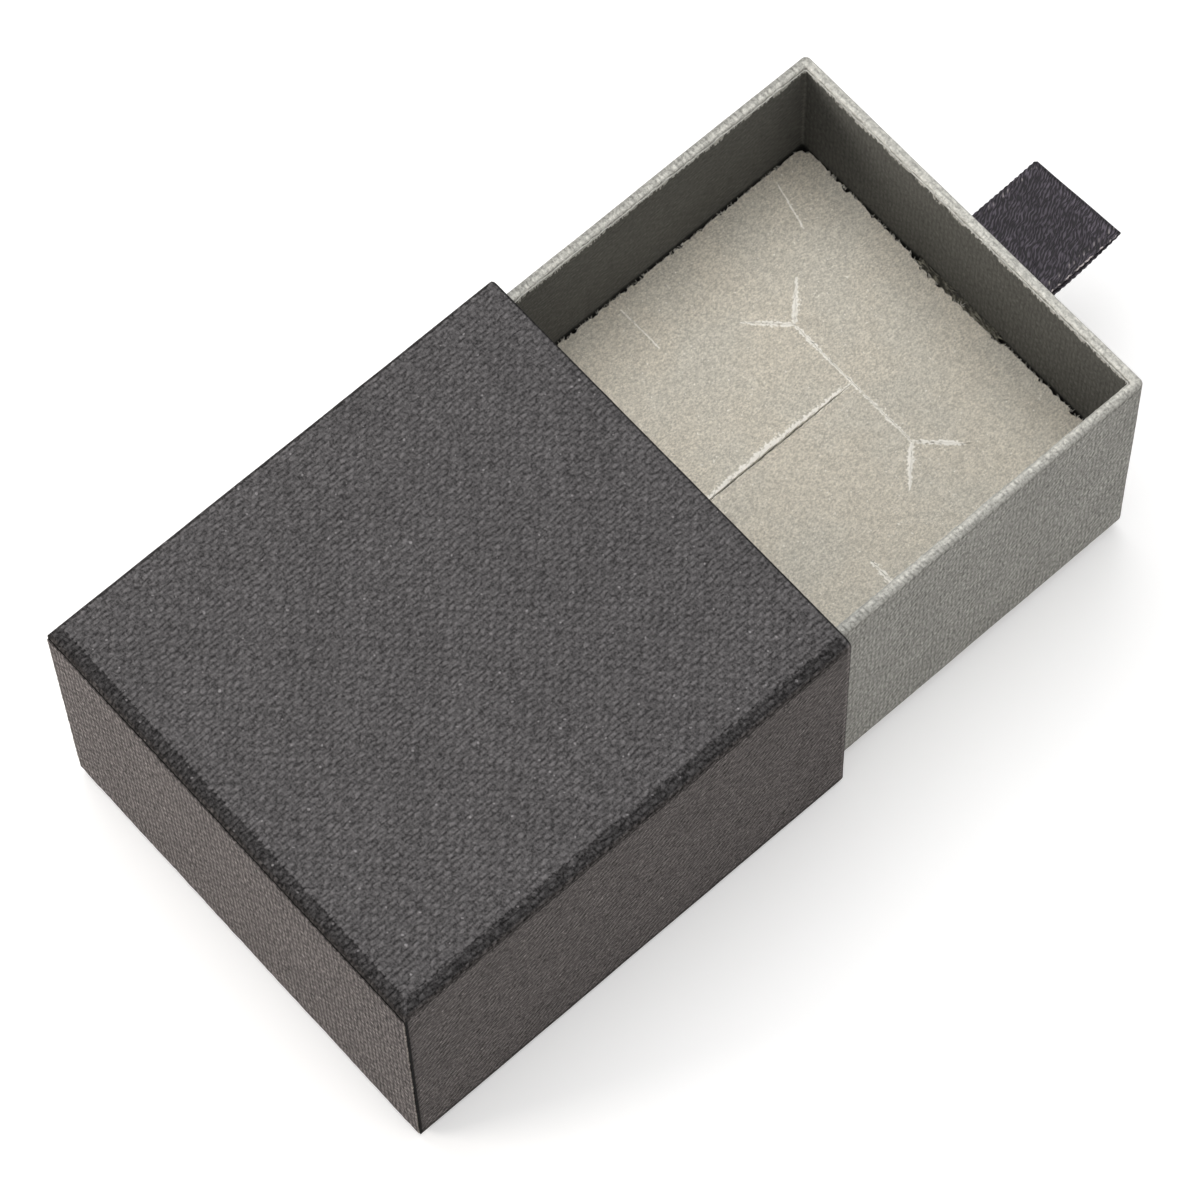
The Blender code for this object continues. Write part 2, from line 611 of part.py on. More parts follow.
def ribbon():
    """One length of ribbon: up from its inner end, out, folded back, in and down again."""
    lower_z = SLOT_Z - RIBBON_LAYER_PITCH / 2
    outer_radius = RIBBON_BEND_RADIUS + RIBBON_LAYER_PITCH
    leg_y = LINER_FACE_Y + GLUE_LINE + RIBBON_THICKNESS / 2
    bend_centre = (leg_y - RIBBON_BEND_RADIUS, lower_z - RIBBON_BEND_RADIUS)
    leg_end_z = bend_centre[1] - RIBBON_LEG
    fold_radius = RIBBON_LAYER_PITCH / 2
    fold_y = DRAWER_FRONT_Y - RIBBON_REACH + fold_radius + RIBBON_THICKNESS / 2
    quarter = math.pi / 2
    lower_bend = arc(bend_centre, RIBBON_BEND_RADIUS, 0, quarter, BEND_SEGMENTS)
    fold = arc((fold_y, SLOT_Z), fold_radius, 3 * quarter, quarter, 2 * BEND_SEGMENTS)
    upper_bend = arc(bend_centre, outer_radius, quarter, 0, BEND_SEGMENTS)
    outline = [
        (leg_y, leg_end_z),
        *lower_bend,
        *fold,
        *upper_bend,
        (leg_y + RIBBON_LAYER_PITCH, leg_end_z),
    ]
    path = [Vector((-RIBBON_WIDTH / 2, across, height)) for across, height in outline]
    bm = strip(path, RIGHT * RIBBON_WIDTH)
    band = add_object("pull_ribbon", bm, Vector((0, DRAWER_FRONT_Y, SLOT_Z)), satin, drawer)
    thicken(band, RIBBON_THICKNESS, 0)


clear_scene()

charcoal_linen = make_material("charcoal_linen", (0.092, 0.086, 0.088), 0.75)
grey_linen = make_material("grey_linen", (0.27, 0.27, 0.25), 0.78)
greyboard = make_material("greyboard", (0.30, 0.27, 0.23), 0.9)
black_paper = make_material("black_paper", (0.022, 0.021, 0.021), 0.85)
dark_liner = make_material("dark_liner", (0.075, 0.074, 0.066), 0.8)
pale_velour = make_material("pale_velour", (0.45, 0.42, 0.36), 0.95)
pale_foam = make_material("pale_foam", (0.50, 0.48, 0.43), 0.95)
satin = make_material("satin", (0.052, 0.046, 0.056), 0.45)

sleeve_board_parts()
sleeve_cover()
sleeve_sheets()
sleeve_lining()

drawer = bpy.data.objects.new("drawer_slide", None)
drawer.location = Vector((0, middle(*DRAWER_FORM).y, SLEEVE_HEIGHT / 2))
bpy.context.scene.collection.objects.link(drawer)

front_slot = ribbon_slot()
drawer_board_parts(front_slot)
drawer_cover(front_slot)
drawer_sheets()
drawer_wall_liner(front_slot)
insert_parts()
riser()
ribbon()
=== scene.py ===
# %% [markdown]
# # A small drawer gift box
# The box is made of thin grey board wrapped in linen-embossed paper: a charcoal sleeve, closed at
# one end, and a pale grey drawer with a flocked insert and a satin pull ribbon. The solids come
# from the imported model. This lesson gives them their surfaces, and replaces the papers, the
# insert and the ribbon with finer pieces.

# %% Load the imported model
import json
import math
import random

import bmesh
import bpy
from mathutils import Matrix, Quaternion, Vector, noise


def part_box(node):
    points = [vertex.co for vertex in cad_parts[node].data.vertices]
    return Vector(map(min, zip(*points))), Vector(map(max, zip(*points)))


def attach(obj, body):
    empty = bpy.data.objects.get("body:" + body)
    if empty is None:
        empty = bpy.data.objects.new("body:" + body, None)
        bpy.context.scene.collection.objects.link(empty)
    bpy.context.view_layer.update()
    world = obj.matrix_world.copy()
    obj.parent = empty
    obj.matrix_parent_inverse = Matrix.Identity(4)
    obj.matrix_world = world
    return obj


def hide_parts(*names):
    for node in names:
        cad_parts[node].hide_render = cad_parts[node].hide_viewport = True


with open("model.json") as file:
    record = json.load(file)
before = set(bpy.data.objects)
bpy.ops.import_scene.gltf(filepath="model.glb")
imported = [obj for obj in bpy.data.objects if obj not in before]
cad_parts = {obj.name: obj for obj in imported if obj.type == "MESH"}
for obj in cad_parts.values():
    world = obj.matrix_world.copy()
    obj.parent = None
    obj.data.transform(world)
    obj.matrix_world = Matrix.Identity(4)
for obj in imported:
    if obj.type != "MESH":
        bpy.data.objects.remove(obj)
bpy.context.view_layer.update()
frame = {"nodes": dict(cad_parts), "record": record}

MM = 0.001
noise.seed_set(3)  # so that the papers' waves are the same in every run

# %% [markdown]
# ## Camera
# The photograph looks down on a corner of the box through a long lens. A camera is easiest to
# read as a point that it aims at, two angles and a distance, so it is placed that way and then
# rolled a little about its own view line.

# %% Aim the camera
VIEW_AIM = Vector((-0.73, -21.15, 20.0)) * MM
VIEW_AZIMUTH = 230.28  # degrees
VIEW_ELEVATION = 66.78
VIEW_DISTANCE = 653.1 * MM
VIEW_ROLL = math.radians(-2.065)
LENS = 172.35  # mm, on Blender's 36 mm sensor


def add_object(name, data):
    obj = bpy.data.objects.new(name, data)
    bpy.context.scene.collection.objects.link(obj)
    return obj


def aim(obj, azimuth, elevation, distance, roll=0.0):
    """Place a camera or lamp round the box, looking at it; azimuth 0 is in front of it, at -Y."""
    azimuth, elevation = math.radians(azimuth), math.radians(elevation)
    flat = math.cos(elevation)
    way = Vector((math.sin(azimuth) * flat, -math.cos(azimuth) * flat, math.sin(elevation)))
    obj.location = VIEW_AIM + way * distance
    obj.rotation_mode = "QUATERNION"
    view = VIEW_AIM - obj.location
    obj.rotation_quaternion = view.to_track_quat("-Z", "Y") @ Quaternion((0, 0, 1), roll)


camera = add_object("camera", bpy.data.cameras.new("camera"))
camera.data.lens = LENS
camera.data.clip_start = 10 * MM
camera.data.clip_end = 20.0
aim(camera, VIEW_AZIMUTH, VIEW_ELEVATION, VIEW_DISTANCE, VIEW_ROLL)
bpy.context.scene.camera = camera
bpy.context.scene.view_settings.view_transform = "Standard"
print("camera, in mm:", [round(place / MM) for place in camera.location])

# %% [markdown]
# ## Mesh helpers
# Every paper on this box starts as a plain block. Edges are found by the way that their faces
# look, then rounded with a bevel, and planes slice the mesh into rows so that it can bend a
# little, as paper does.

# %% Find and cut
WELD = 0.003 * MM
ALIGNED = 0.999  # cosine above which two directions count as the same
SMOOTH_ANGLE = math.radians(35.0)
UP, DOWN = Vector((0, 0, 1)), Vector((0, 0, -1))
LEFT, RIGHT = Vector((-1, 0, 0)), Vector((1, 0, 0))
FRONT, BACK = Vector((0, -1, 0)), Vector((0, 1, 0))


def block(low, high):
    """A plain box between two corners."""
    bm = bmesh.new()
    bmesh.ops.create_cube(bm, size=1.0)
    bmesh.ops.scale(bm, vec=high - low, verts=bm.verts)
    bmesh.ops.translate(bm, vec=(low + high) / 2, verts=bm.verts)
    return bm


def faces_towards(bm, *ways):
    bm.normal_update()
    return [face for way in ways for face in bm.faces if face.normal.dot(way) > ALIGNED]


def edges_between(bm, firsts, seconds):
    """Edges where a face that looks one way meets a face that looks another way."""
    firsts, seconds = set(faces_towards(bm, *firsts)), set(faces_towards(bm, *seconds))
    pairs = [(edge, list(edge.link_faces)) for edge in bm.edges if len(edge.link_faces) == 2]
    return [edge for edge, pair in pairs
            if any(one in firsts and two in seconds for one, two in (pair, pair[::-1]))]


def remove_faces(bm, faces):
    bmesh.ops.delete(bm, geom=faces, context="FACES_ONLY")


def round_off(bm, edges, radius, segments):
    bmesh.ops.bevel(bm, geom=edges, offset=radius, offset_type="OFFSET", segments=segments,
                    profile=0.5, affect="EDGES", clamp_overlap=True, material=-1)


def cut_plane(bm, point, way, faces=None):
    """Cut some faces, or the whole mesh, where a plane passes through."""
    faces = bm.faces[:] if faces is None else faces
    edges = {edge for face in faces for edge in face.edges}
    verts = {vert for face in faces for vert in face.verts}
    bmesh.ops.bisect_plane(bm, geom=[*verts, *edges, *faces], dist=WELD,
                           plane_co=point, plane_no=way)


def slice_rows(bm, spacing, *ways):
    """Cut a mesh into rows, so that it can bend between them."""
    for way in ways:
        places = [vert.co.dot(way) for vert in bm.verts]
        low, high = min(places), max(places)
        count = max(1, round((high - low) / spacing))
        for step in range(1, count):
            cut_plane(bm, way * (low + (high - low) * step / count), way)


def cut_window(bm, low, high):
    """Take out what lies inside a box, such as a slot through a wall."""
    for way in (RIGHT, BACK, UP):
        for corner in (low, high):
            cut_plane(bm, corner, way)
    centres = [(face, face.calc_center_median()) for face in bm.faces]
    inside = [face for face, centre in centres
              if all(low[axis] < centre[axis] < high[axis] for axis in range(3))]
    bmesh.ops.delete(bm, geom=inside, context="FACES")


# %% Join, bend and finish


def join(bm, other):
    """Add one bmesh to another."""
    mesh = bpy.data.meshes.new("joined")
    other.to_mesh(mesh)
    other.free()
    bm.from_mesh(mesh)
    bpy.data.meshes.remove(mesh)


def ripple(point, length, amount):
    """A number that changes smoothly from place to place, in waves of a length."""
    return noise.noise(point / length) * amount


def waver(point, length, amount):
    """The same for a small shift, which has a direction too."""
    return noise.noise_vector(point / length) * amount


def add_piece(name, bm, body, slot, material, *replaced):
    """Turn a finished mesh into a piece that rides on a body; its place is in its mesh."""
    mesh = bpy.data.meshes.new(name)
    bm.to_mesh(mesh)
    bm.free()
    mesh.shade_smooth()
    mesh.set_sharp_from_angle(angle=SMOOTH_ANGLE)
    mesh.materials.append(material)
    piece = add_object(name, mesh)
    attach(piece, body)
    if replaced:
        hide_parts(*replaced)
    print(f"{name}: {sum(len(face.vertices) - 2 for face in mesh.polygons)} triangles")
    return piece


# %% [markdown]
# ## Shader helpers
# A material is a small graph. Written out node by node it is long and hard to read, so a node's
# output is wrapped in a class that reads like a number: a sum or a product of two of them adds
# the node that works it out, and links it up.

# %% A value that varies over the surface


class Varying:
    """The output of a node: a number, a vector or a colour that changes from place to place."""

    def __init__(self, socket):
        self.socket = socket
        self.tree = socket.id_data

    def __add__(self, other):
        return work_out("ADD", self, other)

    def __sub__(self, other):
        return work_out("SUBTRACT", self, other)

    def __rsub__(self, other):
        return work_out("SUBTRACT", other, self)

    def __mul__(self, other):
        return work_out("MULTIPLY", self, other)

    def __pow__(self, other):
        return work_out("POWER", self, other)

    def __abs__(self):
        return work_out("ABSOLUTE", self)

    def ramp(self, low, high, to_low=0.0, to_high=1.0):
        """Map it smoothly from one range to another, and hold it at both ends."""
        return add_node(self.tree, "MapRange", {
            "Value": self, "From Min": low, "From Max": high, "To Min": to_low, "To Max": to_high,
        }, interpolation_type="SMOOTHSTEP")

    def between(self, first, second):
        """Go from one value to another as it goes from 0 to 1."""
        return self.ramp(0.0, 1.0, first, second)

    def split(self):
        """Its x, y and z."""
        outputs = add_node(self.tree, "SeparateXYZ", (self,)).socket.node.outputs
        return [Varying(output) for output in outputs]


def plug(socket, value):
    """Set a socket to a plain value, or link it to another node's output."""
    if isinstance(value, Varying):
        socket.id_data.links.new(value.socket, socket)
    else:
        socket.default_value = (*value[:3], 1.0) if socket.type == "RGBA" else value


def plug_all(sockets, values):
    """Plug values into sockets, by name or in their order."""
    for key, value in values.items() if isinstance(values, dict) else enumerate(values):
        plug(sockets[key], value)


def add_node(tree, kind, inputs=(), output=0, **settings):
    """Add a node with its inputs and settings, and give the output that is used."""
    node = tree.nodes.new("ShaderNode" + kind)
    for name, setting in settings.items():
        setattr(node, name, setting)
    plug_all(node.inputs, inputs)
    return Varying(node.outputs[output])


def work_out(operation, *values):
    """Add the node for one operation; at least one of the values is a node's output."""
    known = next(value for value in values if isinstance(value, Varying))
    kind = "Math" if known.socket.type == "VALUE" else "VectorMath"
    return add_node(known.tree, kind, values, operation=operation)


# %% Operations, noise and colours


def larger(first, second):
    return work_out("MAXIMUM", first, second)


def smaller(first, second):
    return work_out("MINIMUM", first, second)


def cosine(angle):
    return work_out("COSINE", angle)


def cloud(place, scale, detail=2.0, roughness=0.5, output="Fac"):
    """Cloudy noise from 0 to 1; scale is in waves for each unit of the place."""
    inputs = {"Vector": place, "Scale": scale, "Detail": detail, "Roughness": roughness}
    return add_node(place.tree, "TexNoise", inputs, output)


def scaled(vector, factor):
    """A colour made lighter or darker, or a vector made longer or shorter."""
    known = factor if isinstance(factor, Varying) else vector
    return add_node(known.tree, "VectorMath", {0: vector, "Scale": factor}, operation="SCALE")


def mixed(factor, first, second):
    """Go from one colour to another as the factor goes from 0 to 1."""
    return add_node(factor.tree, "Mix", {0: factor, 6: first, 7: second}, 2, data_type="RGBA")


def object_place(tree):
    """Where a point is in the object, in millimetres."""
    return scaled(add_node(tree, "TexCoord", output="Object"), 1 / MM)


# %% Groups and materials


def new_group(name, inputs, outputs):
    """An empty shader group; inputs and outputs give a kind of socket for each name."""
    tree = bpy.data.node_groups.new(name, "ShaderNodeTree")
    for side, sockets in (("INPUT", inputs), ("OUTPUT", outputs)):
        for socket_name, kind in sockets.items():
            tree.interface.new_socket(name=socket_name, in_out=side,
                                      socket_type="NodeSocket" + kind)
    sources = tree.nodes.new("NodeGroupInput").outputs
    print("shader group:", name)
    return tree, {key: Varying(sources[key]) for key in inputs}, tree.nodes.new("NodeGroupOutput").inputs


def add_group(tree, group, **values):
    """Place a shader group, with a value for each of its named inputs."""
    node = tree.nodes.new("ShaderNodeGroup")
    node.node_tree = group
    plug_all(node.inputs, values)
    return {output.name: Varying(output) for output in node.outputs}


def new_material(name, roughness, specular=0.5, sheen=0.0, sheen_roughness=0.5):
    """A material with its Principled shader; what is the same all over is set on the shader."""
    material = bpy.data.materials.new(name)
    material.use_nodes = True
    shader = material.node_tree.nodes["Principled BSDF"]
    plug_all(shader.inputs, {"Roughness": roughness, "Specular IOR Level": specular,
                             "Sheen Weight": sheen, "Sheen Roughness": sheen_roughness})
    print("material:", name)
    return material, material.node_tree, shader


def emboss(shader, height, depth):
    """Raise the surface by a height from 0 to 1, at most as deep as said, in metres."""
    inputs = {"Strength": 1.0, "Distance": depth, "Height": height}
    plug(shader.inputs["Normal"], add_node(shader.id_data, "Bump", inputs))


def paint(shader, colour):
    plug(shader.inputs["Base Color"], colour)


# %% [markdown]
# ## Place on a face
# A weave has to follow the paper. On a box, each face can read its place from the two axes that
# run along it, and the normal says which face that is.

# %% Place on a face group


def build_face_group():
    """Millimetres along the face that a point lies on, and whether that face is upright."""
    tree, _, result = new_group("place on a face", {}, {"Sheet": "Vector", "Upright": "Float"})
    nx, ny, nz = abs(add_node(tree, "TexCoord", output="Normal")).split()
    x, y, z = object_place(tree).split()
    sheet = add_node(tree, "CombineXYZ", (x, y))
    for normal, others, along in ((nx, (ny, nz), (z, y)), (ny, (nx, nz), (x, z))):
        looks_so = work_out("GREATER_THAN", normal, larger(*others))
        choices = {0: looks_so, 4: sheet, 5: add_node(tree, "CombineXYZ", along)}
        sheet = add_node(tree, "Mix", choices, 1, data_type="VECTOR")
    plug_all(result, {"Sheet": sheet, "Upright": nz.ramp(0.8, 0.4)})
    return tree


face_group = build_face_group()

# %% [markdown]
# ## Linen emboss
# The wrapping paper is pressed between engraved rollers, which leave it with the look of a plain
# weave: two sets of threads that pass over and under each other in a chequerboard. It could be an
# image, but a formula is sharper close up. Cosines along the two directions give the round
# threads, their product says which set is on top, and noise makes the threads wander, swell and
# fade.

# %% Linen group
THREAD_PITCH = 0.665  # mm from one thread to the next, measured on the photograph


def build_linen_group():
    tree, given, result = new_group(
        "linen emboss", {"Sheet": "Vector", "Pitch": "Float"},
        {name: "Float" for name in ("Height", "Grain", "Tone", "Fleck", "Slant")})
    sheet = given["Sheet"]
    drift = cloud(sheet, 0.5, 3.0, 0.6, "Color") - (0.5, 0.5, 0.5)
    bent = sheet + drift * (0.9, 0.9, 0.0)
    turns = work_out("DIVIDE", math.pi, given["Pitch"])
    across, along, _ = bent.split()
    wave_across, wave_along = cosine(across * turns), cosine(along * turns)
    over = wave_across * wave_along
    long_thread = abs(wave_across) * over.ramp(-0.8, 0.8, 0.25, 1.0)
    cross_thread = abs(wave_along) * over.ramp(0.3, -0.9)
    swell_long = cloud(bent * (1.5, 0.6, 1.0), 1.0, 1.0).ramp(0.3, 0.7, 0.35, 1.0)
    swell_cross = cloud(bent * (0.6, 1.5, 1.0), 1.0, 1.0).ramp(0.3, 0.7, 0.1, 0.6)
    streaks, specks = cloud(bent * (3.0, 0.9, 1.0), 1.0, 3.0), cloud(sheet, 3.5, 3.0, 0.75)
    rows = cosine((across + along) * turns) - cosine((across - along) * turns) * 0.6
    patches = cloud(sheet, 0.2, 2.0).ramp(0.35, 0.6)
    dashes = cloud(sheet, 1.2, 1.0).ramp(0.38, 0.6, 0.15, 1.4)
    plug_all(result, {
        "Height": larger(long_thread * swell_long, cross_thread * swell_cross),
        "Grain": (streaks * 0.4 + specks * 0.6).ramp(0.32, 0.68),
        "Tone": cloud(sheet, 0.12, 3.0).ramp(0.3, 0.7),
        "Fleck": cloud(sheet, 1.7, 0.0).ramp(0.79, 0.84),
        "Slant": rows * (patches * dashes)})
    return tree


linen_group = build_linen_group()

# %% [markdown]
# ## Distance to an edge
# Wear, folds and seams follow the edges of a box. For a point on a box, its distances to the
# box's planes hold all that is needed: the smallest is nothing, as the point lies on that face,
# and the others say how far the edges are.

# %% Edge distance group


def build_edge_group():
    """Millimetres from a point to the six planes of a box."""
    pairs = (("Left", "Right"), ("Front", "Back"), ("Bottom", "Top"))
    tree, given, result = new_group("distance to the planes of a box",
                                    {"Low": "Vector", "High": "Vector"},
                                    {name: "Float" for pair in pairs for name in pair})
    place = object_place(tree)
    from_low, from_high = (place - given["Low"]).split(), (given["High"] - place).split()
    for (low_name, high_name), to_low, to_high in zip(pairs, from_low, from_high):
        plug_all(result, {low_name: to_low, high_name: to_high})
    return tree


edge_group = build_edge_group()


def add_box_distances(tree, node):
    """The distances of a point to the planes of a node's box."""
    low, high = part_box(node)
    return add_group(tree, edge_group, Low=low / MM, High=high / MM)


# %% [markdown]
# ## Linen papers
# All the papers share the linen emboss. Each has one mean colour, and a share by which its crowns
# are painted lighter and its valleys painted darker: painted light and shade on the relief, on top
# of the bump.

# %% Linen papers
CHARCOAL = (0.1032, 0.0988, 0.1005)
# A lighter, warmer copy of the charcoal for the upright faces and the end sheet: painted light.
LIT_UPRIGHT_CHARCOAL = (0.1230, 0.1110, 0.1078)
GREY = (0.303, 0.299, 0.276)
LINER = (0.100, 0.099, 0.089)
PAPER_CORE = (0.42, 0.385, 0.34)
CHARCOAL_LOOK = {"roughness": 0.75, "specular": 0.04, "crowns": 0.32, "grain": 0.42,
                 "depth": 0.11 * MM, "flecks": 1.5}
GREY_LOOK = {"roughness": 0.75, "specular": 0.12, "crowns": 0.20, "grain": 0.31,
             "depth": 0.08 * MM, "turned": True}
LINER_LOOK = {"roughness": 0.75, "specular": 0.2, "crowns": 0.13, "grain": 0.20,
              "depth": 0.05 * MM}
UPRIGHT_CONTRAST = 1.15  # light grazes the upright faces, so their relief shows more
DARKEST = 0.15  # share of the colour that is left in the deepest valleys


def start_linen(name, roughness, specular, crowns, grain, depth, flecks=0.0, turned=False):
    """A linen paper: its shader, and a factor that paints light on crowns and shade in valleys."""
    material, tree, shader = new_material(name, roughness, specular)
    face = add_group(tree, face_group)
    sheet = face["Sheet"]
    if turned:
        across, along, _ = sheet.split()
        sheet = add_node(tree, "CombineXYZ", (along, across))
    linen = add_group(tree, linen_group, Sheet=sheet, Pitch=THREAD_PITCH)
    swing = (linen["Height"].ramp(0.0, 0.8, -crowns, crowns)
             + linen["Grain"].between(-grain, grain))
    factor = swing * face["Upright"].between(1.0, UPRIGHT_CONTRAST) + 1.0
    factor = larger(factor, DARKEST) * linen["Tone"].between(0.95, 1.05)
    factor = factor + linen["Fleck"] * flecks
    emboss(shader, linen["Height"] + linen["Grain"] * 0.6, depth)
    return material, tree, shader, {**linen, **face}, factor


def plain_linen(name, colour, look):
    material, _, shader, _, factor = start_linen(name, **look)
    paint(shader, scaled(colour, factor))
    return material


def strokes(linen, contrast):
    """Slanted rows of crowns: painted light and shade on the upright faces, where light grazes."""
    return linen["Slant"] * linen["Upright"].between(0.0, contrast) + 1.0


charcoal = plain_linen("charcoal linen paper", CHARCOAL, CHARCOAL_LOOK)
liner = plain_linen("dark liner paper", LINER, LINER_LOOK)
grey = plain_linen("grey linen paper", GREY, GREY_LOOK)

# %% [markdown]
# The sleeve's wrap is folded round the long edges and the closed end. Along those folds the
# board behind it is soft and the paper is rounded; a band of painted shade lies there, with a
# ragged upper edge where it climbs over the thread crowns. At a corner the two bands meet in a
# thin pale mitre, and at the mouth the paper turns in with a paler lip.

# %% Sleeve wrap paper
BAND_REACH = 1.75  # mm from the edge that the band covers
BAND_SHADE = 0.48  # share of the paper's colour that is left in the band
BAND_RELIEF = 1.4  # how much more the weave shows in it
RIGHT_BAND = 1.0  # mm by which the right fold's band starts lower
STROKE_CONTRAST = 0.29  # slanted rows where light grazes the sides


def build_wrap_paper():
    material, tree, shader, linen, factor = start_linen("folded charcoal paper", **CHARCOAL_LOOK)
    edges = add_box_distances(tree, "sleeve_cover_paper")
    upright, from_front, from_back = linen["Upright"], edges["Front"], edges["Back"]
    to_wall = smaller(smaller(edges["Left"], from_back), edges["Right"] + RIGHT_BAND)
    reach = larger(smaller(edges["Top"], edges["Bottom"]), to_wall)
    # The band of painted shade along the folds, with a ragged edge over the crowns.
    ragged = reach + linen["Height"] * 0.22 + linen["Grain"] * 0.15
    band = ragged.ramp(BAND_REACH + 0.2, BAND_REACH - 0.1) * from_front.ramp(0.35, 1.0)
    mitre = abs(edges["Left"] - from_back).ramp(0.32, 0.12)
    band = band * mitre.between(1.0, 0.1)
    shade = band.between(1.0, BAND_SHADE)
    lip = from_front.ramp(0.75, 0.5, 1.0, upright.between(1.0, 1.35))
    # A painted dark line along the mouth's edge: painted shade on the rounded lip.
    outline = from_front.ramp(0.15, 0.38, 0.25, 1.0)
    # Painted shade in the groove along the back edges, where the end sheet meets the wrap.
    seam = (from_back - linen["Grain"] * 0.15).ramp(0.18, 0.30, 0.12, 1.0)
    seam = edges["Top"].ramp(1.0, 1.35, 1.0, seam)
    # Painted shade on the fold round the closed end, within a millimetre of the back.
    end_fold = from_back.ramp(0.1, 1.0, 0.55, 1.0)
    factor = factor ** band.between(1.0, BAND_RELIEF)
    factor = factor * shade * lip * outline * seam * strokes(linen, STROKE_CONTRAST) * end_fold
    paint(shader, scaled(mixed(upright, CHARCOAL, LIT_UPRIGHT_CHARCOAL), factor))
    return material


wrap_paper = build_wrap_paper()

# %% [markdown]
# ## Plain finishes
# The hidden layers are plain: grey board pressed from waste paper, thin black lining paper, and
# foam. Board shows short pale and dark fibres, which stretched noise gives. Foam shows pores,
# which are the cells of a Voronoi texture.

# %% Plain finishes


def fibrous_material(name, colour, roughness, contrast, depth):
    material, tree, shader = new_material(name, roughness, 0.3)
    place = object_place(tree)
    fibres = cloud(place * (1.0, 4.0, 4.0), 1.2, 3.0)
    tone = fibres * 0.7 + cloud(place, 0.4, 3.0) * 0.3
    paint(shader, scaled(colour, tone.ramp(0.3, 0.7, 1.0 - contrast, 1.0 + contrast)))
    emboss(shader, fibres, depth)
    return material


def build_foam_material():
    """Open-cell foam: fine dark pores in a pale body."""
    material, tree, shader = new_material("open-cell foam", 0.95, 0.2)
    cells = add_node(tree, "TexVoronoi", {"Vector": object_place(tree), "Scale": 3.0}, "Distance")
    pores = cells.ramp(0.15, 0.5, 0.55, 1.05)
    paint(shader, scaled((0.50, 0.48, 0.43), pores))
    emboss(shader, pores, 0.1 * MM)
    return material


black = fibrous_material("black lining paper", (0.022, 0.021, 0.021), 0.8, 0.25, 0.02 * MM)
board = fibrous_material("greyboard", (0.30, 0.27, 0.23), 0.9, 0.2, 0.05 * MM)
foam = build_foam_material()

# %% [markdown]
# ## Flocked velour
# The insert's top is a sheet covered in short upright fibres. They catch light from all round,
# which a sheen gives, and they lie in patches that lean different ways, which shows as soft
# blotches. Where a knife has cut it, the fibres' pale roots show, with a painted highlight on the
# raised lips. The mesh says where that is, with an attribute of its points.

# %% Velour material
VELOUR_TONES = (0.643, 0.594, 0.500), (0.612, 0.575, 0.493)
CUT_FLOCK_AND_HIGHLIGHT = (1.0, 0.965, 0.88)


def build_velour_material():
    material, tree, shader = new_material("flocked velour", 0.95, 0.15, sheen=0.15,
                                          sheen_roughness=0.6)
    place = object_place(tree)
    colour = mixed(cloud(place, 0.11, 2.0, 0.6).ramp(0.35, 0.65), *VELOUR_TONES)
    naps = cloud(place, 1.1, 3.0, 0.6)
    tips = cloud(place * (4.7, 3.0, 3.6), 1.0, 3.0, 0.8)
    colour = scaled(colour, naps.ramp(0.3, 0.7, 0.96, 1.04) * tips.ramp(0.25, 0.75, 0.64, 1.36))
    # Pale along the slits: the cut fibres' paler roots, and a painted highlight on the raised lips.
    lip = add_node(tree, "Attribute", output="Fac", attribute_name="lip")
    ragged = lip + (cloud(place, 3.2, 1.0) - 0.5) * 1.6
    paint(shader, mixed(ragged.ramp(0.25, 0.55), colour, CUT_FLOCK_AND_HIGHLIGHT))
    emboss(shader, tips + naps * 1.5, 0.08 * MM)
    return material


def loose_material(name, roughness, sheen, colour, scale, dark, bright):
    """Loose fibres or threads, some darker and some brighter than the colour."""
    material, tree, shader = new_material(name, roughness, 0.2, sheen=sheen)
    tone = cloud(object_place(tree), scale, 2.0).ramp(0.3, 0.7, dark, bright)
    paint(shader, scaled(colour, tone))
    return material


velour = build_velour_material()
loose_flock = loose_material("loose flock", 0.9, 0.3, (0.80, 0.77, 0.69), 0.8, 0.6, 1.1)

# %% [markdown]
# ## Satin
# In satin, each thread floats over several others before it dips, so its face is a field of
# short, slightly slanted dashes. Noise stretched along the slant gives them. The selvedges are
# woven tighter, with one row of bright stitches just inside each edge. The ribbon's own map
# carries the pattern round its fold.

# %% Satin material
RIBBON_WIDTH = 13.5 * MM
RIBBON_FLAT = 53.8 * MM  # length of the flat strip
RIBBON_OUTSIDE = 18.5 * MM  # from the fold at its tip into the front wall's slot
SATIN = (0.030, 0.026, 0.032)
TUCKED_THREAD = (0.062, 0.059, 0.047)
BRIGHT_THREAD_AND_HIGHLIGHT = (0.62, 0.56, 0.56)
FLOAT_SLANT = math.radians(-26.0)
STITCH_LENGTH = 0.8  # mm from one bright stitch to the next


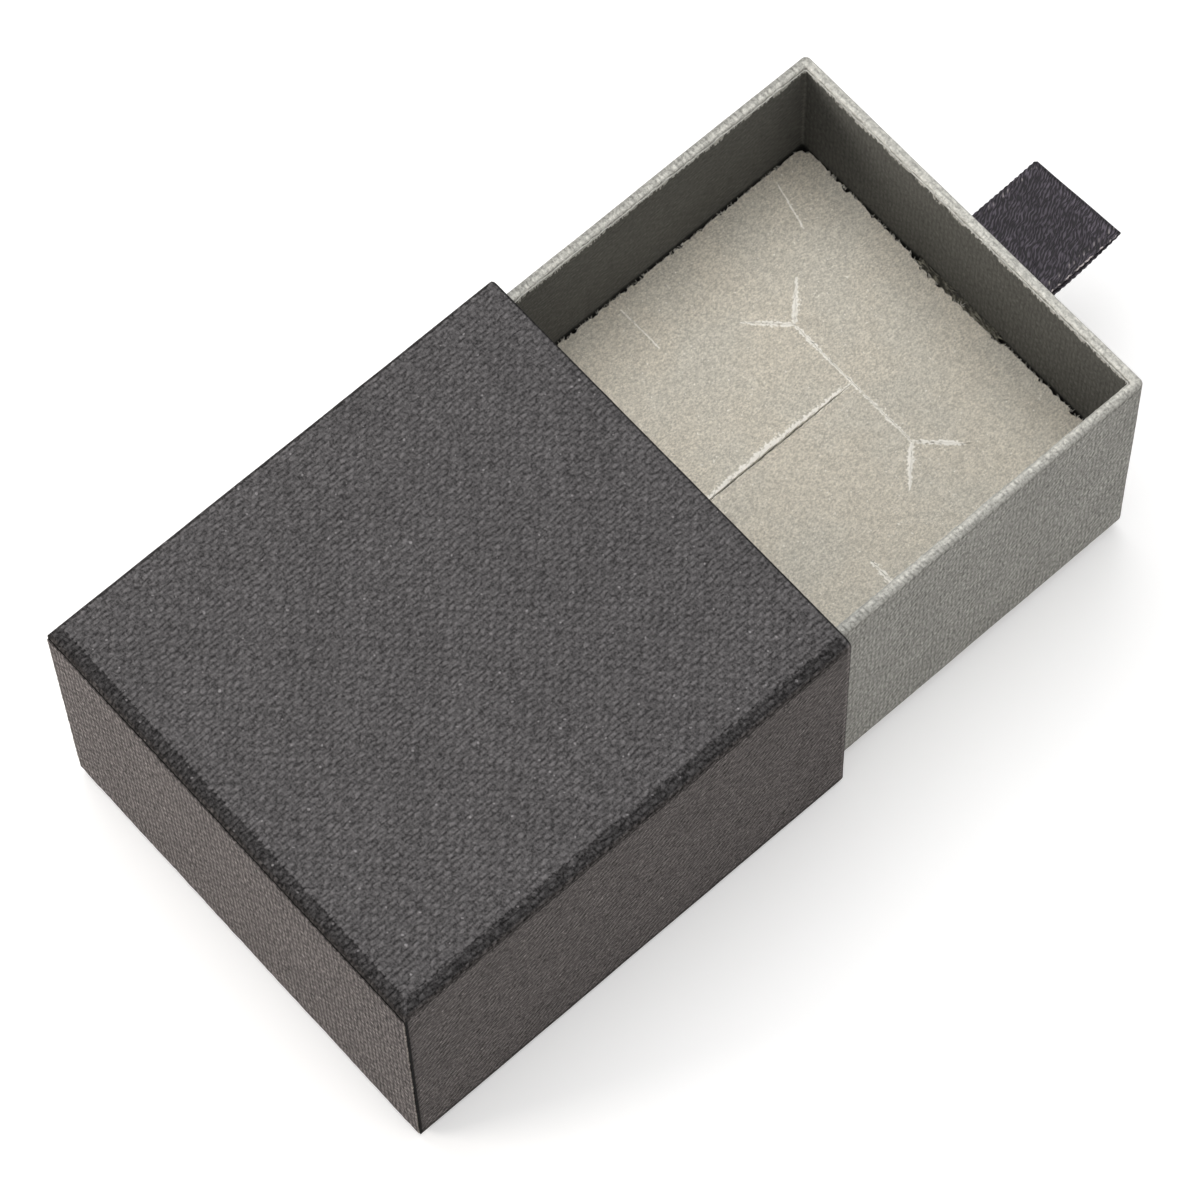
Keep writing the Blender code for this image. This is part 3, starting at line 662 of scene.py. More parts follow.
def build_satin_material():
    material, tree, shader = new_material("satin ribbon", 0.5, 0.2, sheen=0.05)
    plug(shader.inputs["Sheen Tint"], (0.9, 0.85, 1.0))
    flat = add_node(tree, "TexCoord", output="UV")
    waves = cloud(flat, 0.5, 2.0, 0.5, "Color") - (0.5, 0.5, 0.5)
    slanted = add_node(tree, "Mapping", {"Vector": flat + waves, "Rotation": (0, 0, FLOAT_SLANT)})
    twill = cosine(slanted.split()[0] * (2 * math.pi * 2.6)) * 0.09
    floats = (cloud(slanted * (6.0, 1.1, 1.0), 1.0, 1.0) + twill).ramp(0.38, 0.68)
    across, along, _ = flat.split()
    from_edge = RIBBON_WIDTH / MM / 2 - abs(across)
    stitch = cosine((along + across * 0.9) * (2 * math.pi / STITCH_LENGTH))
    row = abs(from_edge - across.ramp(-1.0, 1.0, 1.0, 0.65)).ramp(0.3, 0.12)
    stitches = row * stitch.ramp(0.3, 0.9) * cloud(flat, 0.9, 1.0).ramp(0.4, 0.65)
    past_fold = along - RIBBON_FLAT / MM / 2
    # A painted highlight along one edge of the upper layer, broken by noise.
    edge = from_edge.ramp(0.16, 0.07) * cloud(flat, 1.3, 1.0).ramp(0.42, 0.6)
    edge = edge * work_out("LESS_THAN", across, 0.0) * past_fold.ramp(0.3, 0.8)
    from_fold = abs(past_fold)
    tucked = from_fold.ramp(RIBBON_OUTSIDE / MM, RIBBON_OUTSIDE / MM + 0.5)
    bright = larger(stitches * 0.45, edge) * (1.0 - tucked)
    factor = floats.between(0.4, 2.8) * cloud(flat, 0.35, 3.0).ramp(0.3, 0.7, 0.8, 1.2)
    # Painted shade right at the fold, and painted light for a few millimetres beside it.
    factor = factor * from_fold.ramp(0.1, 0.4, 0.5, 1.0) * from_fold.ramp(1.0, 3.0, 1.2, 0.95)
    colour = scaled(mixed(tucked, SATIN, TUCKED_THREAD), tucked.between(factor, 0.8))
    paint(shader, mixed(bright, colour, BRIGHT_THREAD_AND_HIGHLIGHT))
    emboss(shader, floats, 0.08 * MM)
    return material


satin = build_satin_material()

# %% [markdown]
# ## Wrapped shells
# One sheet of paper covers the sleeve: round its four walls, over the mouth and a little way in,
# and down onto the closed end. It could be drawn face by face. It is quicker to take the block
# that it wraps, round its edges, open the mouth, and bridge the outer skin to the inner one. A
# thickness of one sheet then goes inwards, towards the board.

# %% Wrap builder
PAPER = 0.15 * MM
PAPER_ROWS = 1.6 * MM
FOLD_SEGMENTS = 6
LIP_SEGMENTS = 3
CUFF_CORNER = 0.2 * MM
LIP_RADIUS = 0.3 * MM  # of the paper over the mouth and the rim
FLAP = 9.0 * MM  # how far the paper is turned onto the end or the underside
BUCKLES = (9 * MM, 0.035 * MM)  # length and height of the slow waves in glued paper
DENTS = (2.5 * MM, 0.02 * MM)  # and of the quick ones


def build_wrap(low, high, way, wall, cuff, radius, *folds):
    """The skin of a box that is open one way, its paper folded over the opening and in."""
    bm = block(low, high)
    folded = [edge for fold in folds for edge in edges_between(bm, *fold)]
    round_off(bm, folded, radius, FOLD_SEGMENTS)
    remove_faces(bm, faces_towards(bm, way))
    axis = max(range(3), key=lambda index: abs(way[index]))
    open_place = high[axis] if way[axis] > 0 else low[axis]
    inner_low, inner_high = low + Vector((wall,) * 3), high - Vector((wall,) * 3)
    inner_low[axis], inner_high[axis] = sorted((open_place, open_place - way[axis] * cuff))
    inner = block(inner_low, inner_high)
    sides = [side for side in (LEFT, RIGHT, FRONT, BACK, UP, DOWN) if abs(side.dot(way)) < ALIGNED]
    round_off(inner, edges_between(inner, sides, sides), CUFF_CORNER, FOLD_SEGMENTS)
    remove_faces(inner, faces_towards(inner, way, -way))
    bmesh.ops.reverse_faces(inner, faces=inner.faces)
    join(bm, inner)
    rims = [edge for edge in bm.edges if edge.is_boundary
            and all(abs(vert.co[axis] - open_place) < WELD for vert in edge.verts)]
    ring = bmesh.ops.bridge_loops(bm, edges=rims)["faces"]
    bm.normal_update()
    bmesh.ops.reverse_faces(bm, faces=[face for face in ring if face.normal.dot(way) < 0])
    round_off(bm, rims, LIP_RADIUS, LIP_SEGMENTS)
    return bm


def open_flaps(bm, way):
    """Leave only the turned-over flaps on one face of a wrap."""
    face = max(faces_towards(bm, way), key=lambda face: face.calc_center_median().dot(way))
    bmesh.ops.inset_region(bm, faces=[face], thickness=FLAP, use_even_offset=True)
    remove_faces(bm, [face])


def crease_paper(bm):
    """Cut the skin into rows, bend it a little and give it its thickness."""
    slice_rows(bm, PAPER_ROWS, RIGHT, BACK, UP)
    for vert in bm.verts:
        vert.co += waver(vert.co, *BUCKLES) + waver(vert.co, *DENTS)
    bmesh.ops.solidify(bm, geom=bm.faces[:], thickness=PAPER)


# %% Sleeve wrap
MOUTH_WALL = 1.4 * MM  # paper, board and paper again, with their glue
MOUTH_CUFF = 10.0 * MM
SLEEVE_FOLD = 1.0 * MM  # outside radius of the folds

bm = build_wrap(*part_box("sleeve_cover_paper"), FRONT, MOUTH_WALL, MOUTH_CUFF, SLEEVE_FOLD,
                ((UP, DOWN), (LEFT, RIGHT, BACK)))
open_flaps(bm, BACK)
open_flaps(bm, DOWN)
crease_paper(bm)
add_piece("sleeve_wrap", bm, "sleeve", "charcoal_linen", wrap_paper, "sleeve_cover_paper")

# %% [markdown]
# ## End sheet
# The closed end is covered by a sheet cut just short of the box's edges. Its raw edges leave a thin
# seam at the corners, darkened by painted shade on the wrap, and a light line above; no knife cuts
# them dead straight. The sheet is a thin block in many rows, whose border points are moved a little.

# %% End sheet
SHEET_INSET = 0.07 * MM
SHEET_ROWS = 0.6 * MM
RAW_EDGE = (1.1 * MM, 0.3 * MM)  # length and height of the knife's slips along its edges
END_LOOK = {**CHARCOAL_LOOK, "crowns": 0.45, "grain": 0.34}


def build_end_paper():
    """The end sheet's paper, paler where its raw edge shows the core."""
    material, tree, shader, linen, factor = start_linen("charcoal end sheet", **END_LOOK)
    edges = add_box_distances(tree, "sleeve_end_paper")
    frayed = smaller(edges["Left"], edges["Right"]) + linen["Grain"] * 0.25
    colour = mixed(frayed.ramp(0.34, 0.16, 0.0, 0.5), LIT_UPRIGHT_CHARCOAL, PAPER_CORE)
    paint(shader, scaled(colour, factor))
    return material


low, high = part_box("sleeve_end_paper")
low.x += SHEET_INSET
high.x -= SHEET_INSET
bm = block(low, high)
slice_rows(bm, SHEET_ROWS, RIGHT, UP)
for vert in bm.verts:
    wobble = ripple(Vector((vert.co.x, 0, vert.co.z)), *RAW_EDGE)
    if vert.co.z > high.z - WELD or vert.co.z < low.z + WELD:
        vert.co.z += wobble
    if vert.co.x > high.x - WELD or vert.co.x < low.x + WELD:
        vert.co.x += wobble / 2
    vert.co += waver(vert.co, *BUCKLES)
add_piece("sleeve_end_sheet", bm, "sleeve", "charcoal_linen", build_end_paper(),
          "sleeve_end_paper")

# %% [markdown]
# ## Drawer wrap
# The drawer is wrapped the same way, with the opening upwards: its paper runs over the rim and
# down inside, where the liner covers its edge. The ribbon passes through a slot in the front
# wall, so the skin is cut there before it gets its thickness.

# %% Drawer wrap paper
# Slanted rows painted as light and shade where light grazes the drawer's sides.
GREY_STROKES = 0.15


def build_drawer_paper():
    material, tree, shader, linen, factor = start_linen("folded grey paper", **GREY_LOOK)
    edges = add_box_distances(tree, "drawer_cover_paper")
    uneven = edges["Top"] + linen["Grain"] * 0.25
    on_rim = uneven.ramp(0.5, 0.3)
    to_side = smaller(edges["Left"], edges["Right"]) + linen["Grain"] * 0.3
    # The rim is painted lighter: a painted highlight where the paper turns over the top.
    rim = on_rim * to_side.ramp(0.4, 1.1, 0.2, 0.8) + 1.0
    # A painted shadow line along the wall, just under the rim's rounding.
    line = abs(uneven - 0.72).ramp(0.22, 0.03, 1.0, 0.7)
    factor = factor ** on_rim.between(1.0, 0.8) * rim * line * strokes(linen, GREY_STROKES)
    paint(shader, scaled(GREY, factor))
    return material


# %% Drawer wrap
RIM_WALL = 1.2 * MM
RIM_CUFF = 8.0 * MM
DRAWER_FOLD = 0.75 * MM
SLOT_LEFT = -7.25 * MM
SLOT_RIGHT = 6.6 * MM
SLOT_HEIGHT = 1.05 * MM
SLOT_RISE = 0.4 * MM  # from the velour up to the slot's middle

velour_low, velour_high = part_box("insert_velour")
SLOT_Z = velour_high.z + SLOT_RISE


def cut_slot(bm, wall_y):
    """Cut the ribbon's slot through a skin near a place along Y."""
    cut_window(bm, Vector((SLOT_LEFT, wall_y - MM, SLOT_Z - SLOT_HEIGHT / 2)),
               Vector((SLOT_RIGHT, wall_y + MM, SLOT_Z + SLOT_HEIGHT / 2)))


drawer_low, drawer_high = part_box("drawer_cover_paper")
bm = build_wrap(drawer_low, drawer_high, UP, RIM_WALL, RIM_CUFF, DRAWER_FOLD,
                ((LEFT, RIGHT), (FRONT, BACK)), ((DOWN,), (LEFT, RIGHT, FRONT, BACK)))
open_flaps(bm, DOWN)
cut_slot(bm, drawer_low.y)
crease_paper(bm)
add_piece("drawer_wrap", bm, "drawer", "grey_linen", build_drawer_paper(), "drawer_cover_paper")

# %% [markdown]
# ## Drawer liner
# A strip of dark paper lines the four walls. Its top edge was cut by hand just under the rim, so
# it wanders. The strip is a block without its ends, turned inside out, in rows that are short
# enough for the edge to wander point by point.

# %% Liner paper
LINER_CORE = (0.47, 0.465, 0.43)
GLOOM = 0.2  # share of the light that is left down beside the insert

liner_low, liner_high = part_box("drawer_wall_liner")


def build_wall_liner_paper():
    """The liner paper, with the paler core that shows where its top edge was cut."""
    material, tree, shader, linen, factor = start_linen("dark wall liner", **LINER_LOOK)
    edges = add_box_distances(tree, "drawer_wall_liner")
    place = object_place(tree)
    fringe = cloud(place * (3.0, 3.0, 0.5), 1.0, 1.0).ramp(0.42, 0.58, 0.2, 0.75)
    torn = edges["Top"] - (fringe + cloud(place, 0.35, 1.0).ramp(0.3, 0.7, -0.15, 0.35))
    pale = larger(linen["Upright"].ramp(0.6, 0.2), torn.ramp(0.06, 0.0))
    # Painted shade low on the walls, down beside the insert, and a paler line along the wall corners.
    to_corner = larger(smaller(edges["Left"], edges["Right"]),
                       smaller(edges["Front"], edges["Back"]))
    above = edges["Bottom"] - cloud(place, 1.3, 2.0) * 0.5
    insert_top = (velour_high.z - liner_low.z) / MM
    shade = (to_corner.ramp(0.4, 0.2, 1.0, 1.2)
             * above.ramp(insert_top - 0.3, insert_top + 0.6, GLOOM, 1.0))
    paint(shader, scaled(mixed(pale, scaled(LINER, shade), LINER_CORE), factor))
    return material


# %% Drawer liner
LINING = 0.12 * MM
LINER_CORNER = 0.3 * MM
LINER_ROWS = 0.5 * MM
LINER_LEVELS = 3.0 * MM
LINER_EDGE = (0.9 * MM, 0.3 * MM)
LINER_BUCKLES = (9 * MM, 0.02 * MM)
LINER_DROP = 0.15 * MM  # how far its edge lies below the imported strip's, on average
LINER_BED = 0.08 * MM  # how far it is pressed into the paper behind it

bm = block(liner_low + Vector((LINING, LINING, 0)), liner_high - Vector((LINING, LINING, 0)))
round_off(bm, edges_between(bm, (LEFT, RIGHT), (FRONT, BACK)), LINER_CORNER, LIP_SEGMENTS)
remove_faces(bm, faces_towards(bm, UP, DOWN))
bmesh.ops.reverse_faces(bm, faces=bm.faces)
slice_rows(bm, LINER_ROWS, RIGHT, BACK)
slice_rows(bm, LINER_LEVELS, UP)
cut_slot(bm, liner_low.y)
for vert in bm.verts:
    if vert.co.z > liner_high.z - WELD:
        vert.co.z += ripple(vert.co, *LINER_EDGE) - LINER_DROP
    vert.co += waver(vert.co, *LINER_BUCKLES)
bmesh.ops.solidify(bm, geom=bm.faces[:], thickness=LINING + LINER_BED)
add_piece("drawer_liner", bm, "drawer", "dark_liner", build_wall_liner_paper(),
          "drawer_wall_liner")

# %% [markdown]
# ## Insert
# The insert is a flocked sheet on a slab of foam, with knife slits that hold a ring or a chain.
# The slits are real cuts in the mesh: the sheet is a fine grid, each slit's line is cut across
# its faces, and the edges along it are split, so that the two lips can move apart and up.

# %% Where the slits are
RING_SLIT = 20.0 * MM
RING_SETBACK = 16.1 * MM  # from the insert's front or back edge
ARM = 6.3 * MM
ARM_ANGLE = 45.0  # degrees
CORNER_ANGLE = 15.0
CHAIN_SLIT = 6.9 * MM
CHAIN_MARGIN = 1.3 * MM  # from the insert's side edge
CORNER_SETBACK = 5.1 * MM

insert_middle = (velour_low + velour_high) / 2
insert_half = (velour_high - velour_low) / 2


def slanting(side, turn, degrees):
    """A way to the right or left that is turned to the back or front by an angle."""
    angle = math.radians(degrees)
    return RIGHT * side * math.cos(angle) + BACK * turn * math.sin(angle)


def slit(start, way, length, tapers, lifts=(0.16, 0.16), pales=(0.26, 0.26), gap=0.01):
    """One cut; how far its left and right lips rise, how wide their pale roots and painted highlight
    are.
    """
    return {"start": start, "way": way, "aside": Vector((-way.y, way.x, 0)), "length": length,
            "tapers": (tapers[0] * MM, tapers[1] * MM),
            "lift": {1: lifts[0] * MM, -1: lifts[1] * MM},
            "pale": {1: pales[0] * MM, -1: pales[1] * MM}, "gap": gap * MM}


def list_slits():
    centre = Vector((insert_middle.x, insert_middle.y, velour_high.z))
    ring_y = insert_half.y - RING_SETBACK
    chain_x = insert_half.x - CHAIN_MARGIN
    corner_y = insert_half.y - CORNER_SETBACK
    slits = [slit(centre + FRONT * ring_y, BACK, 2 * ring_y, (9, 12), (-0.1, 0.5), (0.01, 0.65),
                  0.07)]
    for end in (-1, 1):
        middle = centre + BACK * end * ring_y
        slits.append(slit(middle + LEFT * RING_SLIT / 2, RIGHT, RING_SLIT, (0.5, 0.5),
                          (0.16, 0.1), (0.19, 0.11), 0.04))
        for side in (-1, 1):
            fork = middle + RIGHT * side * RING_SLIT / 2
            slits += [slit(fork, slanting(side, turn, ARM_ANGLE), ARM, (0.5, 3))
                      for turn in (-1, 1)]
            corner = centre + RIGHT * side * chain_x + BACK * end * corner_y
            is_shut = side == -1 and end == -1
            pales = (0.0, 0.0) if is_shut else (0.1, 0.07)
            slits.append(slit(corner, slanting(-side, -end, CORNER_ANGLE), CHAIN_SLIT, (4, 0.4),
                              pales, pales, 0.0))
    for side, length, pale in ((-1, CHAIN_SLIT + 0.4 * MM, 0.24), (1, CHAIN_SLIT, 0.06)):
        slits.append(slit(centre + RIGHT * side * chain_x, LEFT * side, length, (4, 0.3),
                          (0.1, 0.1), (pale, pale)))
    return slits


slits = list_slits()
open_slits = [cut for cut in slits if cut["lift"][1]]
print("slits:", len(slits), "of which open:", len(open_slits))

# %% Cut the sheet
CELL = 0.35 * MM
ON_LINE = 0.01 * MM
LIP_REACH = 1.1 * MM
LIP_ROWS = (-0.4, -0.15, 0.15, 0.4)  # mm beside each slit, for a narrow and even lip
LIP_SHARE = 0.9  # how far open a lip is on average
LIP_SWING = (3 * MM, 0.4)  # length and size of the waves in that
LIP_RAGS = (0.8 * MM, 0.12 * MM)  # and of those that make a lip ragged


def place_on(cut, point):
    """How far along a slit a point is, and how far aside, positive to its left."""
    offset = point - cut["start"]
    return offset.dot(cut["way"]), offset.dot(cut["aside"])


def is_near(cut, point, reach):
    along, aside = place_on(cut, point)
    return abs(aside) < reach and -reach < along < cut["length"] + reach


def opening(cut, along):
    """How far open a slit is at a place along it, from 0 to 1."""
    from_start = max(0.0, along) / cut["tapers"][0]
    from_end = max(0.0, cut["length"] - along) / cut["tapers"][1]
    return math.sqrt(min(1.0, from_start, from_end))


def cut_slits(bm):
    for cut in slits:
        for aside in (0.0, *LIP_ROWS):
            near = [face for face in bm.faces if is_near(cut, face.calc_center_median(), 2 * CELL)]
            cut_plane(bm, cut["start"] + cut["aside"] * aside * MM, cut["aside"], near)
        for end in (cut["start"], cut["start"] + cut["way"] * cut["length"]):
            close = [face for face in bm.faces
                     if (face.calc_center_median() - end).length < 2 * CELL]
            cut_plane(bm, end, cut["way"], close)
    split = [edge for edge in bm.edges
             if any(all(is_near(cut, vert.co, ON_LINE) for vert in edge.verts) for cut in slits)]
    bmesh.ops.split_edges(bm, edges=split)
    print("edges cut open:", len(split))


def lift_lips(bm):
    """Open each slit, raise its lips, and mark the points on it."""
    lip = bm.verts.layers.float.new("lip")
    for vert in bm.verts:
        shift = Vector((0, 0, 0))
        for cut in open_slits:
            along, aside = place_on(cut, vert.co)
            if abs(aside) > LIP_REACH or not 0 < along < cut["length"]:
                continue
            distance = abs(aside)
            if distance < ON_LINE:
                centres = [face.calc_center_median() for face in vert.link_faces]
                aside = place_on(cut, sum(centres, Vector((0, 0, 0))) / len(centres))[1]
            side = 1 if aside > 0 else -1
            near = 1 - distance / LIP_REACH
            rise = opening(cut, along) * (LIP_SHARE + ripple(vert.co, *LIP_SWING))
            vert[lip] = max(vert[lip], 1 - distance / (2 * cut["pale"][side] * rise + ON_LINE))
            apart = side * cut["gap"] + ripple(vert.co, *LIP_RAGS)
            shift += UP * cut["lift"][side] * rise * near ** 2
            shift += cut["aside"] * apart * rise * near ** 4
        vert.co += shift


# %% The velour's border
CORNER_RADIUS = 1.3 * MM
RECESS = 0.12 * MM  # makes room for the ribbon's ends behind the front wall
RECESS_HALF = 7.6 * MM
RECESS_BLEND = 1.6 * MM
ROOT_SHIFT = -0.42 * MM  # the ribbon sits to one side of its slot
FORWARD = 0.24 * MM  # elsewhere the sheet was pushed up to the wall
STEP_X = 15.7 * MM  # where the front edge was cut in two strokes
STEP = 0.14 * MM
CURL = 0.25 * MM  # its front edge turns up a little
TUCK = 0.12 * MM  # how far its sides are pressed into the liner
sheet_half = insert_half + Vector((TUCK, 0, 0))


def round_corner(point):
    """Move a point of the square sheet's corner into a round corner."""
    across = (abs(point.x) - sheet_half.x + CORNER_RADIUS) / CORNER_RADIUS
    along = (abs(point.y) - sheet_half.y + CORNER_RADIUS) / CORNER_RADIUS
    if across > 0 and along > 0:
        inwards_x = CORNER_RADIUS * across * (1 - math.sqrt(1 - along ** 2 / 2))
        inwards_y = CORNER_RADIUS * along * (1 - math.sqrt(1 - across ** 2 / 2))
        point.x -= math.copysign(inwards_x, point.x)
        point.y -= math.copysign(inwards_y, point.y)


def front_edge_shift(across):
    """How far the front edge of the sheet lies behind or before a straight line."""
    blend = min(1, max(0, (RECESS_HALF - abs(across - ROOT_SHIFT)) / RECESS_BLEND + 0.5))
    blend = blend ** 2 * (3 - 2 * blend)
    return blend * (RECESS + FORWARD) - FORWARD - (STEP if across > STEP_X else 0)


def is_near_border(point):
    offset = point - insert_middle
    inside = max(abs(offset.x) - sheet_half.x, abs(offset.y) - sheet_half.y)
    return inside > -CORNER_RADIUS


# %% Velour sheet
PUSH_REACH = 3.0 * MM  # behind its front edge, how far the sheet is pushed
CURL_REACH = 1.5 * MM  # and how far it is curled
BITES = (0.6 * MM, 0.9 * MM)  # length and depth of the knife's slips into its border
TRIM = 0.054 * MM  # what the knife takes off all round
HOLLOWS = (14 * MM, 0.12 * MM)  # the foam below isn't flat
BUMPS = (3 * MM, 0.03 * MM)
SETTLED = 0.1 * MM  # how far the sheet has sunk into it

bm = bmesh.new()
bmesh.ops.create_grid(bm, x_segments=round(2 * sheet_half.x / CELL),
                      y_segments=round(2 * sheet_half.y / CELL), size=1.0)
bmesh.ops.scale(bm, vec=Vector((sheet_half.x, sheet_half.y, 1)), verts=bm.verts)
for vert in bm.verts:
    round_corner(vert.co)
bmesh.ops.translate(bm, vec=Vector((insert_middle.x, insert_middle.y, velour_high.z)),
                    verts=bm.verts)
cut_slits(bm)
lift_lips(bm)
border = {vert for edge in bm.edges if edge.is_boundary for vert in edge.verts
          if is_near_border(vert.co)}
for vert in bm.verts:
    from_front = vert.co.y - velour_low.y
    vert.co.y += front_edge_shift(vert.co.x) * max(0, 1 - from_front / PUSH_REACH) ** 2
    vert.co.z += CURL * max(0, 1 - from_front / CURL_REACH) ** 2
    if vert in border:
        bite = max(0, ripple(vert.co, *BITES)) + TRIM
        vert.co -= (vert.co - insert_middle).normalized() * bite
    vert.co.z += ripple(vert.co, *HOLLOWS) - SETTLED
    vert.co.z += ripple(vert.co, *BUMPS)
bmesh.ops.solidify(bm, geom=bm.faces[:], thickness=velour_high.z - velour_low.z)
sheet = add_piece("insert_velour_sheet", bm, "drawer", "pale_velour", velour, "insert_velour")

# %% [markdown]
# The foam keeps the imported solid's slits. Its skin is uneven, as cut foam is, so a welded copy of
# the solid is cut into rows and bent a little.

# %% Foam pad
FOAM_ROWS = 2.5 * MM
FOAM_WAVES = (6 * MM, 0.05 * MM)

bm = bmesh.new()
bm.from_mesh(frame["nodes"]["insert_foam"].data)
bmesh.ops.remove_doubles(bm, verts=bm.verts, dist=WELD)
slice_rows(bm, FOAM_ROWS, RIGHT, BACK, UP)
for vert in bm.verts:
    vert.co += waver(vert.co, *FOAM_WAVES)
pad = add_piece("insert_foam_pad", bm, "drawer", "pale_foam", foam, "insert_foam")

# %% [markdown]
# ## Loose flock
# Knife cuts and rough edges shed fibres. Each is a thin cone with three sides, because hundreds
# of them are needed and none is looked at by itself. They lie along the slits and stick out of
# the sheet's border.

# %% Scatter fibres
FIBRE_RADIUS = 0.04 * MM
EDGE_FIBRE_RADIUS = 0.055 * MM
SLIT_FIBRES_PER_MM = 5.0
EDGE_FIBRES_PER_MM = 6.0
SLIT_FIBRE_LENGTHS = (0.25, 0.7)  # mm, the shortest and the longest
EDGE_FIBRE_LENGTHS = (0.15, 0.5)


def add_fibre(bm, base, way, length, radius=FIBRE_RADIUS):
    turn = way.to_track_quat("Z", "Y").to_matrix().to_4x4()
    place = Matrix.Translation(base) @ turn @ Matrix.Translation((0, 0, length / 2))
    bmesh.ops.create_cone(bm, cap_ends=True, segments=3, radius1=radius,
                          radius2=radius / 2, depth=length, matrix=place)


def scatter_slit_fibres(bm, rng, sheet_z):
    for cut in open_slits:
        for _ in range(int(cut["length"] / MM * SLIT_FIBRES_PER_MM)):
            share = rng.random()
            side = rng.choice((-1, 1))
            lift = cut["lift"][side] * opening(cut, share * cut["length"])
            base = cut["start"] + cut["way"] * share * cut["length"]
            base += cut["aside"] * side * rng.uniform(0.0, 0.12) * MM
            base.z = sheet_z + max(0, lift) - 0.05 * MM
            way = (cut["way"] * rng.choice((-1, 1)) + cut["aside"] * rng.uniform(-0.6, 0.6)
                   + UP * rng.uniform(0.0, 0.35))
            add_fibre(bm, base, way, rng.uniform(*SLIT_FIBRE_LENGTHS) * MM)


def scatter_edge_fibres(bm, rng, sheet_z):
    """Fibres that stick out of the sheet's four sides."""
    for way, along in ((LEFT, BACK), (RIGHT, BACK), (FRONT, RIGHT), (BACK, RIGHT)):
        reach = abs(way.dot(sheet_half))
        half = abs(along.dot(sheet_half)) - CORNER_RADIUS / 2
        for _ in range(int(2 * half / MM * EDGE_FIBRES_PER_MM)):
            base = insert_middle + way * reach + along * rng.uniform(-half, half)
            base.z = sheet_z - rng.uniform(0.0, 0.3) * MM
            if way == FRONT:
                base.y += front_edge_shift(base.x)
                base.z += CURL
            base -= way * rng.uniform(0.05, 0.3) * MM
            lean = way * rng.uniform(0.2, 1.0) + along * rng.uniform(-1, 1) + UP * rng.uniform(0, 0.8)
            add_fibre(bm, base, lean, rng.uniform(*EDGE_FIBRE_LENGTHS) * MM, EDGE_FIBRE_RADIUS)


# %% Loose flock
TUFT_X = -1.2 * MM  # a tuft stands up at the middle of the front edge
TUFT_FIBRES = 14
TUFT_LENGTHS = (0.4, 0.8)  # mm
FLOCK_SINK = 0.08 * MM  # the fibres' feet lie in the sheet

bm = bmesh.new()
rng = random.Random(11)
sheet_z = velour_high.z - FLOCK_SINK
scatter_slit_fibres(bm, rng, sheet_z)
scatter_edge_fibres(bm, rng, sheet_z)
for _ in range(TUFT_FIBRES):
    base = Vector((TUFT_X + rng.uniform(-0.2, 0.2) * MM, velour_low.y + RECESS, sheet_z + CURL))
    lean = Vector((rng.uniform(-0.6, 0.6), rng.uniform(-0.9, 0.1), rng.uniform(0.4, 1.0)))
    add_fibre(bm, base, lean, rng.uniform(*TUFT_LENGTHS) * MM, EDGE_FIBRE_RADIUS)
add_piece("insert_loose_flock", bm, "drawer", "pale_velour", loose_flock)

# %% [markdown]
# ## Pull ribbon
# The ribbon is one strip: up behind the front wall, out through the slot, folded back on itself
# at the tip, in again and down. It is made the way that it is on the bench, as a flat strip that
# is then bent. A walk along its middle line says where each point goes: a list of lengths, each
# with the angle that the strip turns through on the way.

# %% The ribbon's walk
RIBBON_THICKNESS = 0.22 * MM
RIBBON_REACH = 18.0 * MM  # from the front wall to the fold
RIBBON_LEG = 7.0 * MM  # each end, turned down inside
LEG_GAP = 0.05 * MM  # between the liner and the first leg
LAYER_PITCH = 0.3 * MM
INNER_BEND = 0.25 * MM
QUARTER = math.pi / 2

LEG_Y = liner_low.y + LINING + LEG_GAP + RIBBON_THICKNESS / 2
FOLD_RADIUS = LAYER_PITCH / 2
OUTER_BEND = INNER_BEND + LAYER_PITCH
BEND_Y = LEG_Y - INNER_BEND
TIP_Y = drawer_low.y - RIBBON_REACH + FOLD_RADIUS + RIBBON_THICKNESS / 2
RUN = BEND_Y - TIP_Y

ribbon_bends = [
    (RIBBON_LEG, 0.0),
    (INNER_BEND * QUARTER, QUARTER),
    (RUN, 0.0),
    (FOLD_RADIUS * 2 * QUARTER, -2 * QUARTER),
    (RUN, 0.0),
    (OUTER_BEND * QUARTER, -QUARTER),
    (RIBBON_LEG, 0.0),
]
ribbon_length = sum(length for length, _ in ribbon_bends)
print("flat ribbon, in mm:", round(ribbon_length / MM, 1))


def walk(distance):
    """Where the ribbon's middle line gets to after a distance: its y, its z and its heading."""
    y, z = LEG_Y, SLOT_Z - LAYER_PITCH / 2 - INNER_BEND - RIBBON_LEG
    heading = QUARTER
    for length, turn in ribbon_bends:
        step = min(distance, length)
        if turn:
            radius = length / turn
            angle = turn * step / length
            y += radius * (math.sin(heading + angle) - math.sin(heading))
            z -= radius * (math.cos(heading + angle) - math.cos(heading))
            heading += angle
        else:
            y += step * math.cos(heading)
            z += step * math.sin(heading)
        distance -= step
        if distance <= 0:
            break
    return y, z, heading


# %% Bend the ribbon
RIBBON_CELL = 0.24 * MM
BEND_ROWS = 8
TIP_SHIFT = -0.27 * MM  # how far its tip lies to one side
TIP_SKEW = 0.8 * MM  # the right end of the fold is nearer the wall
TIP_ROUNDING = 0.3 * MM
TIP_RISE = 0.6 * MM
SCALLOP = 0.85 * MM  # length of one loop of the selvedge
SCALLOP_DEPTH = 0.12 * MM
SELVEDGE = 0.07  # share of half the width that the loops take up
LOWER_PEEK = 0.3 * MM  # how far the lower layer shows beside the upper one
LAYER_SAG = 0.12 * MM  # how far it hangs below, halfway out
RIBBON_WAVES = (6 * MM, 0.12 * MM)


